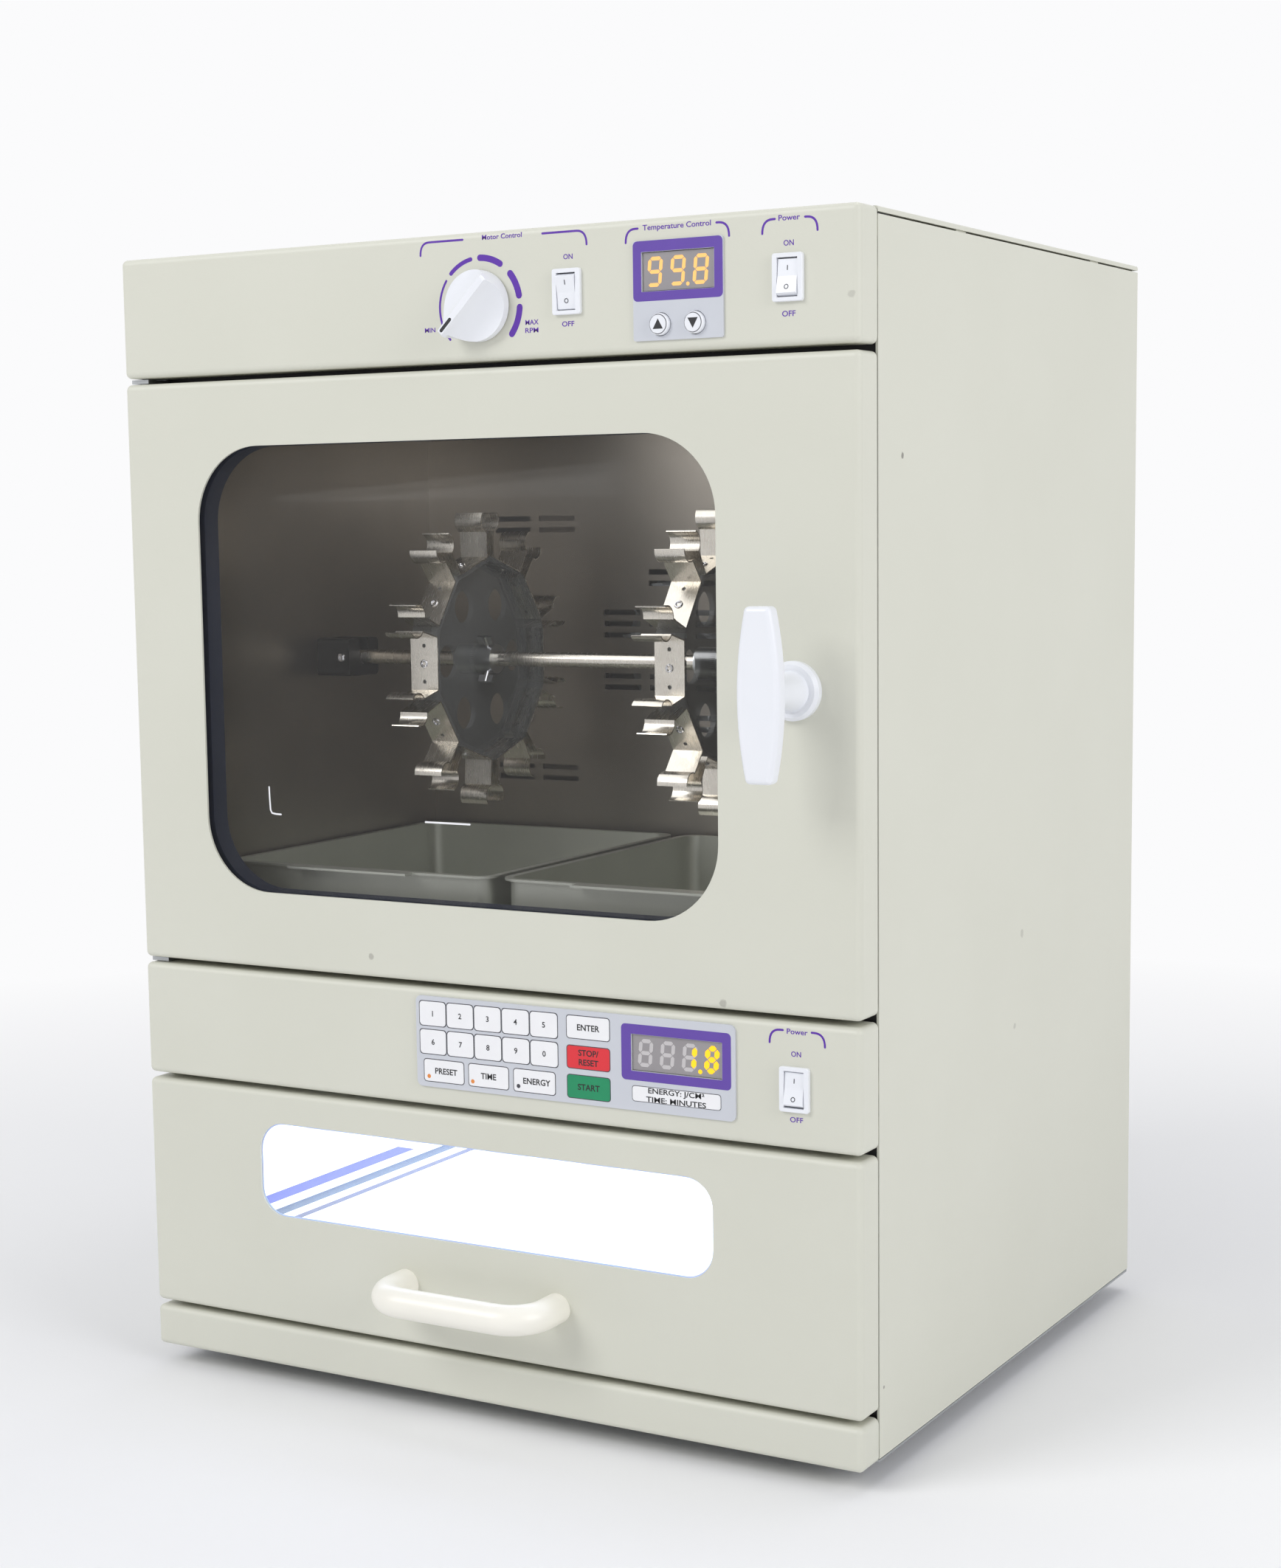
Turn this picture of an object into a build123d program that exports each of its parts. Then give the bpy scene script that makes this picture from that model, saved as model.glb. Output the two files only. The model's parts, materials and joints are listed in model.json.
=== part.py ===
from build123d import *
import os
from math import cos, pi, radians, sin, tan

# Combined hybridization oven and ultraviolet crosslinker for a laboratory bench.
# A sheet-steel cabinet holds a hinged oven door above a drawer. A carousel of spring clips turns bottles
# in the oven, and tubes in the ceiling of the drawer's chamber light what lies in the drawer.
# Sizes are in millimetres. X runs to the right, Y from the front into the depth, Z up from the floor.
# The model is drawn with its front sheets at Y = 0 and is centred when it is written.

# Cabinet and its folded front pans, listed from the floor up
CABINET_WIDTH = 415.0
CABINET_DEPTH = 367.0
FOOT_HEIGHT = 11.0
KICK_HEIGHT = 21.5
DRAWER_HEIGHT = 121.5
LOWER_FASCIA_HEIGHT = 59.0
DOOR_HEIGHT = 298.0
CONTROL_FASCIA_HEIGHT = 60.0
SEAM = 3.0
SHEET = 1.2
PAN_DEPTH = 18.0
BEND_RADIUS = 3.0
FRAME_GAP = 3.2
FRAME_FLANGE = 12.0
PANEL_FLANGE = 12.0
PANEL_REVEAL = 1.0
COVER_RIM = 2.5
COVER_GAP = 1.0
BASE_LIP = 0.3
LUG = 9.0
FOOT_RADIUS = 16.0
FOOT_INSET_X = 38.0
FOOT_INSET_Y = 48.0

# Oven door and its window
WINDOW_LEFT_MARGIN = 45.3
WINDOW_RIGHT_MARGIN = 71.9
WINDOW_TOP_MARGIN = 33.0
WINDOW_BOTTOM_MARGIN = 39.0
WINDOW_RADIUS = 38.0
GLASS = 4.0
INNER_GLASS = 3.0
GLASS_LAP = 12.0
SPACER_DEPTH = 19.0
SPACER_WALL = 6.0
PANE_REBATE = 2.5
INNER_PAN_Y = 12.8
DOOR_RELIEF = 0.4
HINGE_INSET_X = 6.0
HINGE_Y = 9.5
PIN_RADIUS = 2.5
PIN_GRIP = 12.0
HINGE_PLATE = 2.0
HINGE_TAB = 13.0
RUNNING_CLEARANCE = 0.05
SEAL_WIDTH = 5.0
SOFT_CLEARANCE = 0.3

# Turning handle of the door
LATCH_INSET_X = 32.5
LATCH_ABOVE_DOOR_BOTTOM = 148.5
ROSETTE_RADIUS = 13.5
ROSETTE_HEIGHT = 4.5
COLLAR_RADIUS = 9.9
SPINDLE_RADIUS = 4.0
PADDLE_LENGTH = 78.0
PADDLE_WIDTH = 21.0
PADDLE_END_WIDTH = 12.5
PADDLE_THICKNESS = 9.0
HANDLE_REACH = 38.0
CAM_LENGTH = 20.0
CAM_WIDTH = 10.0
CAM_THICKNESS = 3.0
CAM_EYE_RADIUS = 6.0
CAM_GAP = 1.2

# Oven chamber
CHAMBER_LAP_X = 24.6
CHAMBER_LAP_LOW = 28.0
CHAMBER_LAP_HIGH = 22.0
CHAMBER_BACK = 270.0
LINER = 1.0
LINER_FLANGE = 8.0
INSULATION = 12.0
INSULATION_SETBACK = 30.0
BAFFLE_Y = 246.0
SLOT_LENGTH = 24.0
SLOT_HEIGHT = 3.0
SLOT_PITCH_X = 30.0
SLOT_PITCH_Z = 6.5
CORNER_SLOT_X = 72.7
CORNER_SLOT_Z = 69.0
CENTRE_SLOT_X = 54.0
CENTRE_SLOT_Z = 8.5
RING_SLOT_Z = 38.0
TRAY_HEIGHT = 37.0
TRAY_DEPTH = 199.0
TRAY_Y = 39.0
TRAY_SIDE_GAP = 3.0
TRAY_MIDDLE_GAP = 5.0
TRAY_WALL = 1.2
TRAY_RIM = 3.0
TRAY_RADIUS = 8.0
TRAY_TAB_LENGTH = 75.0
TRAY_TAB = 6.0

# Bottle carousel
SHAFT_Y = 145.0
SHAFT_ABOVE_FLOOR = 140.5
SHAFT_RADIUS = 4.0
WHEEL_SPACING = 148.0
CLIP_COUNT = 10
RIM_APOTHEM = 53.0
RIM_WALL = 2.5
RIM_WIDTH = 16.0
WEB = 3.0
WEB_HOLES = 6
WEB_HOLE_RADIUS = 9.0
WEB_HOLE_CIRCLE = 33.0
HUB_RADIUS = 8.0
HUB_LENGTH = 23.0
THUMB_RADIUS = 4.5
THUMB_HEAD = 6.0
THUMB_WING = 1.6
THUMB_STEM_RADIUS = 1.5
THUMB_ANGLE = 62.0
CLIP_WIDTH = 17.0
CLIP_SHEET = 0.6
CLIP_BASE = 28.6
CLIP_BELLY = 35.6
CLIP_WAIST = 29.6
CLIP_LIP = 35.0
CLIP_HEIGHT = 24.0
CLIP_HOLE_RADIUS = 1.1
CLIP_HOLE_SPACING = 19.0
BEARING_LENGTH = 22.0
BEARING_DEPTH = 28.0
BEARING_HEIGHT = 21.0
SHAFT_END_PLAY = 3.0
MOTOR_THICKNESS = 28.0
MOTOR_SIZE = 60.0
MOTOR_CAN_RADIUS = 20.0
MOTOR_BORE_DEPTH = 20.0

# Air circulation and heating behind the baffle
FAN_RADIUS = 48.0
FAN_HUB_RADIUS = 9.0
FAN_DEPTH = 14.0
FAN_BLADES = 16
FAN_PLATE = 1.2
FAN_BACK_GAP = 4.0
FAN_SHAFT_RADIUS = 3.0
FAN_MOTOR_RADIUS = 36.0
FAN_MOTOR_LENGTH = 46.0
HEATER_RADIUS = 62.0
HEATER_TUBE = 3.5
HEATER_BEND = 8.0
PROBE_RADIUS = 2.0
PROBE_REACH = 34.0
PROBE_X = 100.0
PROBE_Y = 200.0

# Drawer, its window, its slides and its pull
UV_LEFT = 37.5
UV_RIGHT = 41.5
UV_FLOOR_UP = 44.5
UV_CEILING_DOWN = 4.0
UV_BACK = 340.0
DRAWER_WINDOW_LEFT = 73.0
DRAWER_WINDOW_RIGHT = 76.5
DRAWER_WINDOW_TOP = 16.2
DRAWER_WINDOW_BOTTOM = 56.0
DRAWER_WINDOW_RADIUS = 24.0
ACRYLIC = 5.0
ACRYLIC_LAP = 9.0
DRAWER_TRAY_BACK = 330.0
DRAWER_TRAY_SIDE = 9.0
DRAWER_SIDE_CLEARANCE = 1.0
SLIDE_INSET = 9.0
SLIDE_WEB = 3.0
SLIDE_FOOT_WIDTH = 9.0
SLIDE_FOOT = 2.5
SLIDE_DROP = 17.0
SLIDE_LENGTH = 300.0
CHANNEL_WALL = 1.5
CHANNEL_START = 24.0
CHANNEL_LEG = 30.0
CHANNEL_LEGS = 3
PULL_SPACING = 89.0
PULL_RADIUS = 7.5
PULL_REACH = 29.0
PULL_BEND = 17.0
PULL_ABOVE_DRAWER_BOTTOM = 31.0
TUBE_COUNT = 5
TUBE_RADIUS = 8.0
TUBE_LENGTH = 288.0
TUBE_START = 36.0
TUBE_PITCH = 56.0
TUBE_DROP = 14.0
TUBE_PIN_RADIUS = 1.2
TUBE_PIN_LENGTH = 7.0
TUBE_PIN_SPACING = 5.0
SOCKET_WIDTH = 20.0
SOCKET_THICKNESS = 10.0
SOCKET_DROP = 24.0
BALLAST_LENGTH = 160.0
BALLAST_DEPTH = 38.0
BALLAST_HEIGHT = 28.0
BALLAST_START = 60.0
BALLAST_PITCH = 62.0

# Controls: places are measured from the right end of the fascia and from its top edge
SPEED_FROM_RIGHT = 196.5
SPEED_DOWN = 34.5
KNOB_RADIUS = 16.7
KNOB_HEIGHT = 15.0
KNOB_SKIRT = 4.0
KNOB_NOSE = 18.4
KNOB_RIDGE = 8.0
KNOB_SCOOP_RADIUS = 15.0
KNOB_REST_DEG = 135.0
KNOB_GAP = 0.6
POT_RADIUS = 8.5
POT_LENGTH = 11.0
POT_BUSH_RADIUS = 4.5
POT_NUT_RADIUS = 6.5
POT_NUT = 2.0
POT_SHAFT_RADIUS = 3.0
SWITCH_WIDTH = 15.0
SWITCH_HEIGHT = 21.0
SWITCH_BEZEL = 2.0
SWITCH_BODY_WIDTH = 13.0
SWITCH_BODY_HEIGHT = 19.0
SWITCH_BODY_DEPTH = 20.0
SWITCH_CAVITY_DEPTH = 11.0
ROCKER_WIDTH = 9.6
ROCKER_RADIUS = 8.3
ROCKER_CLEARANCE = 0.3
ROCKER_TILT_DEG = 9.0
ROCKER_PIVOT_Y = 1.5
ROCKER_PIN_RADIUS = 1.2
ROCKER_PIN_LENGTH = 1.0
MOTOR_SWITCH_FROM_RIGHT = 147.9
OVEN_SWITCH_FROM_RIGHT = 34.3
UPPER_SWITCH_DOWN = 30.4
UV_SWITCH_FROM_RIGHT = 33.2
UV_SWITCH_DOWN = 30.8
PLATE = 1.0
TEMPERATURE_FROM_RIGHT = 89.5
TEMPERATURE_WIDTH = 46.2
TEMPERATURE_TOP = 10.1
TEMPERATURE_HEIGHT = 44.7
READOUT_WIDTH = 37.2
READOUT_HEIGHT = 17.6
READOUT_TOP = 15.2
ARROW_RADIUS = 5.0
ARROW_SPACING = 17.9
ARROW_DOWN = 47.7
ARROW_PROUD = 2.0
ARROW_TRAVEL = 0.8
ARROW_FLANGE = 1.2
ARROW_BACK = 5.0
KEYPAD_FROM_RIGHT = 152.5
KEYPAD_WIDTH = 178.0
KEYPAD_TOP = 3.5
KEYPAD_HEIGHT = 45.6
COUNTER_FROM_RIGHT = 94.6
COUNTER_WIDTH = 48.4
COUNTER_HEIGHT = 17.6
COUNTER_TOP = 12.3
LED_DEPTH = 6.0
BOARD = 1.6
BOARD_Y = 8.0
BOARD_MARGIN = 4.0
STUD_RADIUS = 2.0

# Back of the cabinet
INLET_WIDTH = 50.0
INLET_HEIGHT = 28.0
INLET_FLANGE = 2.0
INLET_BODY_WIDTH = 28.0
INLET_BODY_HEIGHT = 21.0
INLET_BODY_DEPTH = 22.0
INLET_RECESS_WIDTH = 24.0
INLET_RECESS_HEIGHT = 17.0
INLET_RECESS_DEPTH = 16.0
INLET_FROM_LEFT = 60.0
INLET_ABOVE_BASE = 50.0
INLET_PIN_SPACING = 7.0
INLET_PIN_DROP = 2.0
VENT_LENGTH = 60.0
VENT_HEIGHT = 4.0
VENT_PITCH_X = 78.0
VENT_PITCH_Z = 11.0
VENT_COLUMNS = 4
VENT_ROWS = 4
VENT_DOWN = 26.0

# Heights of the seams
KICK_TOP = FOOT_HEIGHT + KICK_HEIGHT
DRAWER_BOTTOM = KICK_TOP + SEAM
DRAWER_TOP = DRAWER_BOTTOM + DRAWER_HEIGHT
LOWER_BOTTOM = DRAWER_TOP + SEAM
LOWER_TOP = LOWER_BOTTOM + LOWER_FASCIA_HEIGHT
DOOR_BOTTOM = LOWER_TOP + SEAM
DOOR_TOP = DOOR_BOTTOM + DOOR_HEIGHT
CONTROL_BOTTOM = DOOR_TOP + SEAM
TOP = CONTROL_BOTTOM + CONTROL_FASCIA_HEIGHT

# Planes that several pieces share
SIDE = CABINET_WIDTH / 2
INNER_SIDE = SIDE - SHEET
FRAME_Y = PAN_DEPTH + FRAME_GAP
FRAME_BACK = FRAME_Y + SHEET
PANEL_Y = PAN_DEPTH + PANEL_REVEAL
BACK_Y = CABINET_DEPTH - SHEET
BASE_TOP = FOOT_HEIGHT + SHEET
DOOR_DEPTH = PAN_DEPTH - DOOR_RELIEF

# Oven window and chamber
WINDOW_X0 = -SIDE + WINDOW_LEFT_MARGIN
WINDOW_X1 = SIDE - WINDOW_RIGHT_MARGIN
WINDOW_Z0 = DOOR_BOTTOM + WINDOW_BOTTOM_MARGIN
WINDOW_Z1 = DOOR_TOP - WINDOW_TOP_MARGIN
OVEN_X0 = WINDOW_X0 - CHAMBER_LAP_X
OVEN_X1 = WINDOW_X1 + CHAMBER_LAP_X
OVEN_Z0 = WINDOW_Z0 - CHAMBER_LAP_LOW
OVEN_Z1 = WINDOW_Z1 + CHAMBER_LAP_HIGH
OVEN_X = (OVEN_X0 + OVEN_X1) / 2
SHAFT_Z = OVEN_Z0 + SHAFT_ABOVE_FLOOR
HINGE_X = -SIDE + HINGE_INSET_X
LATCH_X = SIDE - LATCH_INSET_X
LATCH_Z = DOOR_BOTTOM + LATCH_ABOVE_DOOR_BOTTOM
CAM_Y = FRAME_BACK + CAM_GAP
CAM_SLOT = CAM_EYE_RADIUS + CAM_GAP
MOTOR_X = OVEN_X1 + LINER + INSULATION
INSULATION_BACK = CHAMBER_BACK + LINER + INSULATION

# Drawer chamber
UV_X0 = -SIDE + UV_LEFT
UV_X1 = SIDE - UV_RIGHT
UV_FLOOR = DRAWER_BOTTOM + UV_FLOOR_UP
UV_TOP = DRAWER_TOP - UV_CEILING_DOWN
UV_X = (UV_X0 + UV_X1) / 2
SLIDE_BOTTOM = UV_FLOOR - SHEET - SLIDE_DROP
DRAWER_WINDOW_X0 = -SIDE + DRAWER_WINDOW_LEFT
DRAWER_WINDOW_X1 = SIDE - DRAWER_WINDOW_RIGHT
DRAWER_WINDOW_Z0 = DRAWER_BOTTOM + DRAWER_WINDOW_BOTTOM
DRAWER_WINDOW_Z1 = DRAWER_TOP - DRAWER_WINDOW_TOP
PULL_Z = DRAWER_BOTTOM + PULL_ABOVE_DRAWER_BOTTOM

# Places of the controls
SPEED_X = SIDE - SPEED_FROM_RIGHT
SPEED_Z = TOP - SPEED_DOWN
TEMPERATURE_X = SIDE - TEMPERATURE_FROM_RIGHT
READOUT_Z = TOP - READOUT_TOP - READOUT_HEIGHT / 2
ARROW_Z = TOP - ARROW_DOWN
KEYPAD_X = SIDE - KEYPAD_FROM_RIGHT
COUNTER_X = SIDE - COUNTER_FROM_RIGHT
COUNTER_Z = LOWER_TOP - COUNTER_TOP - COUNTER_HEIGHT / 2
SWITCH_PLACES = {
    "motor": (SIDE - MOTOR_SWITCH_FROM_RIGHT, TOP - UPPER_SWITCH_DOWN),
    "oven": (SIDE - OVEN_SWITCH_FROM_RIGHT, TOP - UPPER_SWITCH_DOWN),
    "uv": (SIDE - UV_SWITCH_FROM_RIGHT, LOWER_TOP - UV_SWITCH_DOWN),
}
INLET_X = -SIDE + INLET_FROM_LEFT
INLET_Z = FOOT_HEIGHT + INLET_ABOVE_BASE

# The box of the whole object runs from the handle's face to the inlet's flange
CENTRE_Y = (CABINET_DEPTH + INLET_FLANGE - HANDLE_REACH) / 2


def slab(x0, x1, y0, y1, z0, z1):
    """A block between two corners."""
    corner = (Align.MIN, Align.MIN, Align.MIN)
    return Pos(x0, y0, z0) * Box(x1 - x0, y1 - y0, z1 - z0, align=corner)


def front_plate(x0, x1, z0, z1, radius, y0, y1):
    """A plate that faces the front, with round corners, between two depths."""
    outline = RectangleRounded(x1 - x0, z1 - z0, radius)
    face = Plane.XZ.offset(-y0) * Pos((x0 + x1) / 2, (z0 + z1) / 2) * outline
    return extrude(face, amount=y0 - y1)


def rod_y(x, z, radius, y0, y1):
    """A round bar along the depth."""
    return extrude(Plane.XZ.offset(-y0) * Pos(x, z) * Circle(radius), amount=y0 - y1)


def rod_x(y, z, radius, x0, x1):
    """A round bar along the width."""
    return extrude(Plane.YZ.offset(x0) * Pos(y, z) * Circle(radius), amount=x1 - x0)


def rod_z(x, y, radius, z0, z1):
    """An upright round bar."""
    return extrude(Plane.XY.offset(z0) * Pos(x, y) * Circle(radius), amount=z1 - z0)


def softened_block(x0, x1, y0, y1, z0, z1, radius):
    """A block whose front edges and corners are rolled over."""
    block = slab(x0, x1, y0, y1, z0, z1)
    front = block.faces().sort_by(Axis.Y)[0].edges()
    return fillet(front + block.edges().filter_by(Axis.Y), radius)


def folded_pan(z0, z1, depth):
    """Front piece of the full width: a sheet folded back on all four sides."""
    outer = softened_block(-SIDE, SIDE, 0, depth, z0, z1, BEND_RADIUS)
    inner = softened_block(-SIDE + SHEET, SIDE - SHEET, SHEET, depth + SHEET, z0 + SHEET, z1 - SHEET,
                           BEND_RADIUS - SHEET)
    return outer - inner


def mounting_lugs(heights):
    """Lugs inside a fixed pan that stand on the front frame."""
    lugs = []
    for z in heights:
        lugs.append(slab(-INNER_SIDE, -INNER_SIDE + LUG, PAN_DEPTH - LUG, FRAME_Y, z - LUG / 2, z + LUG / 2))
        lugs.append(slab(INNER_SIDE - LUG, INNER_SIDE, PAN_DEPTH - LUG, FRAME_Y, z - LUG / 2, z + LUG / 2))
    return lugs


def base_pan():
    plate = slab(-SIDE, SIDE, PANEL_Y, BACK_Y, FOOT_HEIGHT, BASE_TOP)
    flange_start = FRAME_BACK + FRAME_FLANGE + SEAM
    flange_end = BACK_Y - SHEET - SEAM
    for x0 in (-INNER_SIDE, INNER_SIDE - SHEET):
        plate += slab(x0, x0 + SHEET, flange_start, flange_end, BASE_TOP, BASE_TOP + PANEL_FLANGE)
    plate += slab(-INNER_SIDE + PANEL_FLANGE + SEAM, INNER_SIDE - PANEL_FLANGE - SEAM,
                  BACK_Y - SHEET, BACK_Y, BASE_TOP, BASE_TOP + PANEL_FLANGE)
    return plate


def side_panel(side):
    """Flat side sheet with flanges turned in at the top and at the back."""
    z0 = BASE_TOP + BASE_LIP
    z1 = TOP - COVER_RIM - COVER_GAP
    flange_start = FRAME_BACK + FRAME_FLANGE + SEAM
    panel = slab(INNER_SIDE, SIDE, PANEL_Y, BACK_Y, z0, z1)
    panel += slab(INNER_SIDE - PANEL_FLANGE, INNER_SIDE, flange_start, BACK_Y, z1 - SHEET, z1)
    panel += slab(INNER_SIDE - PANEL_FLANGE, INNER_SIDE, BACK_Y - SHEET, BACK_Y, z0 + PANEL_FLANGE, z1)
    return panel if side > 0 else mirror(panel, about=Plane.YZ)


def top_cover():
    """Top sheet with a short rim, on pads that rest on the side panels' flanges."""
    plate = slab(-SIDE, SIDE, PANEL_Y, CABINET_DEPTH, TOP - COVER_RIM, TOP)
    front_edges = plate.faces().sort_by(Axis.Z)[-1].edges().filter_by(Axis.Y)
    plate = fillet(front_edges, SHEET)
    plate -= slab(-INNER_SIDE, INNER_SIDE, PANEL_Y, BACK_Y, TOP - COVER_RIM, TOP - SHEET)
    flange_top = TOP - COVER_RIM - COVER_GAP
    for x0 in (-INNER_SIDE, INNER_SIDE - PANEL_FLANGE):
        for y in (CABINET_DEPTH * 0.3, CABINET_DEPTH * 0.8):
            plate += slab(x0, x0 + PANEL_FLANGE, y, y + PANEL_FLANGE, flange_top, TOP - SHEET)
    return plate


def back_panel():
    """Back sheet with rows of cooling slots and the opening of the inlet."""
    panel = slab(-SIDE, SIDE, BACK_Y, CABINET_DEPTH, BASE_TOP + BASE_LIP, TOP - COVER_RIM - COVER_GAP)
    for column in range(VENT_COLUMNS):
        for row in range(VENT_ROWS):
            x = (column - (VENT_COLUMNS - 1) / 2) * VENT_PITCH_X
            z = TOP - VENT_DOWN - row * VENT_PITCH_Z
            panel -= slab(x - VENT_LENGTH / 2, x + VENT_LENGTH / 2, BACK_Y - 1, CABINET_DEPTH + 1,
                          z - VENT_HEIGHT / 2, z + VENT_HEIGHT / 2)
    return panel - slab(INLET_X - INLET_BODY_WIDTH / 2, INLET_X + INLET_BODY_WIDTH / 2,
                        BACK_Y - 1, CABINET_DEPTH + 1,
                        INLET_Z - INLET_BODY_HEIGHT / 2, INLET_Z + INLET_BODY_HEIGHT / 2)


def front_frame():
    """Bulkhead behind the front pans: bays for the controls, the oven and the drawer, and the cam's slot."""
    z0 = BASE_TOP
    z1 = TOP - SHEET
    bay = INNER_SIDE - LUG - FRAME_GAP
    frame = slab(-INNER_SIDE, INNER_SIDE, FRAME_Y, FRAME_BACK, z0, z1)
    for x0 in (-INNER_SIDE, INNER_SIDE - SHEET):
        frame += slab(x0, x0 + SHEET, FRAME_BACK, FRAME_BACK + FRAME_FLANGE, z0, z1)
    frame -= slab(-bay, bay, 0, CABINET_DEPTH, CONTROL_BOTTOM + FRAME_GAP, z1 - LUG)
    frame -= slab(-bay, bay, 0, CABINET_DEPTH, LOWER_BOTTOM + FRAME_GAP, LOWER_TOP - LUG)
    frame -= slab(OVEN_X0, OVEN_X1, 0, CABINET_DEPTH, OVEN_Z0, OVEN_Z1)
    frame -= slab(UV_X0, UV_X1, 0, CABINET_DEPTH, SLIDE_BOTTOM - LUG, UV_TOP)
    frame -= slab(LATCH_X - CAM_SLOT, LATCH_X + CAM_SLOT, 0, CABINET_DEPTH,
                  LATCH_Z - CAM_WIDTH, LATCH_Z + CAM_LENGTH + CAM_WIDTH / 2)
    return frame


def control_fascia():
    pan = folded_pan(CONTROL_BOTTOM, TOP, PAN_DEPTH)
    for lug in mounting_lugs((TOP - LUG, TOP - CONTROL_FASCIA_HEIGHT / 2)):
        pan += lug
    for name in ("motor", "oven"):
        pan -= switch_opening(*SWITCH_PLACES[name])
    pan -= rod_y(SPEED_X, SPEED_Z, POT_BUSH_RADIUS, -1, SHEET + 1)
    pan -= readout_block(TEMPERATURE_X, READOUT_Z, READOUT_WIDTH, READOUT_HEIGHT)
    for x in arrow_places():
        pan -= rod_y(x, ARROW_Z, ARROW_RADIUS + SOFT_CLEARANCE, -1, SHEET + 1)
    return pan


def lower_fascia():
    pan = folded_pan(LOWER_BOTTOM, LOWER_TOP, PAN_DEPTH)
    for lug in mounting_lugs((LOWER_BOTTOM + LUG, LOWER_BOTTOM + LOWER_FASCIA_HEIGHT / 2)):
        pan += lug
    pan -= switch_opening(*SWITCH_PLACES["uv"])
    return pan - readout_block(COUNTER_X, COUNTER_Z, COUNTER_WIDTH, COUNTER_HEIGHT)


def kick_plate():
    pan = folded_pan(FOOT_HEIGHT, KICK_TOP, PAN_DEPTH)
    for lug in mounting_lugs((FOOT_HEIGHT + KICK_HEIGHT / 2,)):
        pan += lug
    return pan


def feet():
    """Four rubber feet, a little narrower at the floor."""
    pads = []
    for x in (-SIDE + FOOT_INSET_X, SIDE - FOOT_INSET_X):
        for y in (FOOT_INSET_Y, CABINET_DEPTH - FOOT_INSET_Y):
            cone = Cone(FOOT_RADIUS * 0.85, FOOT_RADIUS, FOOT_HEIGHT, align=(Align.CENTER, Align.CENTER, Align.MIN))
            pads.append(Pos(x, y, 0) * cone)
    return pads


def window_plug(y0, y1, grow=0.0):
    """The outline of the oven window, grown by a lap, between two depths."""
    return front_plate(WINDOW_X0 - grow, WINDOW_X1 + grow, WINDOW_Z0 - grow, WINDOW_Z1 + grow,
                       WINDOW_RADIUS + grow, y0, y1)


def oven_door_shell():
    shell = folded_pan(DOOR_BOTTOM, DOOR_TOP, DOOR_DEPTH)
    shell -= window_plug(-1, SHEET + 1)
    shell -= rod_y(LATCH_X, LATCH_Z, SPINDLE_RADIUS + RUNNING_CLEARANCE, -1, SHEET + 1)
    return shell - rod_z(HINGE_X, HINGE_Y, PIN_RADIUS, DOOR_BOTTOM - 1, DOOR_TOP + 1)


def oven_door_inner_pan():
    """Inner sheet of the door, with the openings of the window and the spindle."""
    pan = front_plate(-INNER_SIDE, INNER_SIDE, DOOR_BOTTOM + SHEET, DOOR_TOP - SHEET, BEND_RADIUS,
                      INNER_PAN_Y, INNER_PAN_Y + SHEET)
    pan -= window_plug(0, CABINET_DEPTH, SPACER_WALL)
    return pan - rod_y(LATCH_X, LATCH_Z, SPINDLE_RADIUS + RUNNING_CLEARANCE, 0, CABINET_DEPTH)


def oven_window_panes():
    """The outer pane behind the door's sheet and the inner pane in the spacer's rebate."""
    outer = window_plug(SHEET, SHEET + GLASS, GLASS_LAP)
    inner = window_plug(SPACER_DEPTH - INNER_GLASS, SPACER_DEPTH, PANE_REBATE)
    return [outer, inner]


def window_spacer():
    """Dark frame that holds the two panes apart."""
    ring = window_plug(SHEET + GLASS, SPACER_DEPTH, SPACER_WALL)
    ring -= window_plug(0, SPACER_DEPTH + 1)
    return ring - window_plug(SPACER_DEPTH - INNER_GLASS, SPACER_DEPTH + 1, PANE_REBATE)


def hinge_pins():
    """Upper and lower pin, fixed in the door's folded edges."""
    reach = SEAM - (SEAM - HINGE_PLATE) / 2
    upper = rod_z(HINGE_X, HINGE_Y, PIN_RADIUS, DOOR_TOP - PIN_GRIP, DOOR_TOP + reach)
    lower = rod_z(HINGE_X, HINGE_Y, PIN_RADIUS, DOOR_BOTTOM - reach, DOOR_BOTTOM + PIN_GRIP)
    return [upper, lower]


def hinge_brackets():
    """Plates in the seams above and below the door that hold its pins, with tabs on the frame."""
    brackets = []
    gap = (SEAM - HINGE_PLATE) / 2
    for z0, z1, tab0, tab1 in (
        (DOOR_TOP + gap, DOOR_TOP + gap + HINGE_PLATE, DOOR_TOP + gap, DOOR_TOP + gap + HINGE_TAB),
        (DOOR_BOTTOM - gap - HINGE_PLATE, DOOR_BOTTOM - gap, DOOR_BOTTOM - gap - HINGE_TAB, DOOR_BOTTOM - gap),
    ):
        x0 = HINGE_X - HINGE_INSET_X + SHEET
        x1 = HINGE_X + HINGE_INSET_X
        bracket = slab(x0, x1, HINGE_Y - HINGE_INSET_X + SHEET, FRAME_Y, z0, z1)
        bracket += slab(x0, x1, FRAME_Y - HINGE_PLATE, FRAME_Y, tab0, tab1)
        brackets.append(bracket - rod_z(HINGE_X, HINGE_Y, PIN_RADIUS + RUNNING_CLEARANCE, z0 - 1, z1 + 1))
    return brackets


def door_seal():
    """Rubber ring on the frame, round the mouth of the oven."""
    y0 = INNER_PAN_Y + SHEET + SOFT_CLEARANCE
    outer = front_plate(OVEN_X0 - SEAL_WIDTH, OVEN_X1 + SEAL_WIDTH, OVEN_Z0 - SEAL_WIDTH, OVEN_Z1 + SEAL_WIDTH,
                        SEAL_WIDTH + SHEET, y0, FRAME_Y)
    return outer - front_plate(OVEN_X0, OVEN_X1, OVEN_Z0, OVEN_Z1, SHEET, y0 - 1, FRAME_Y + 1)


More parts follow.
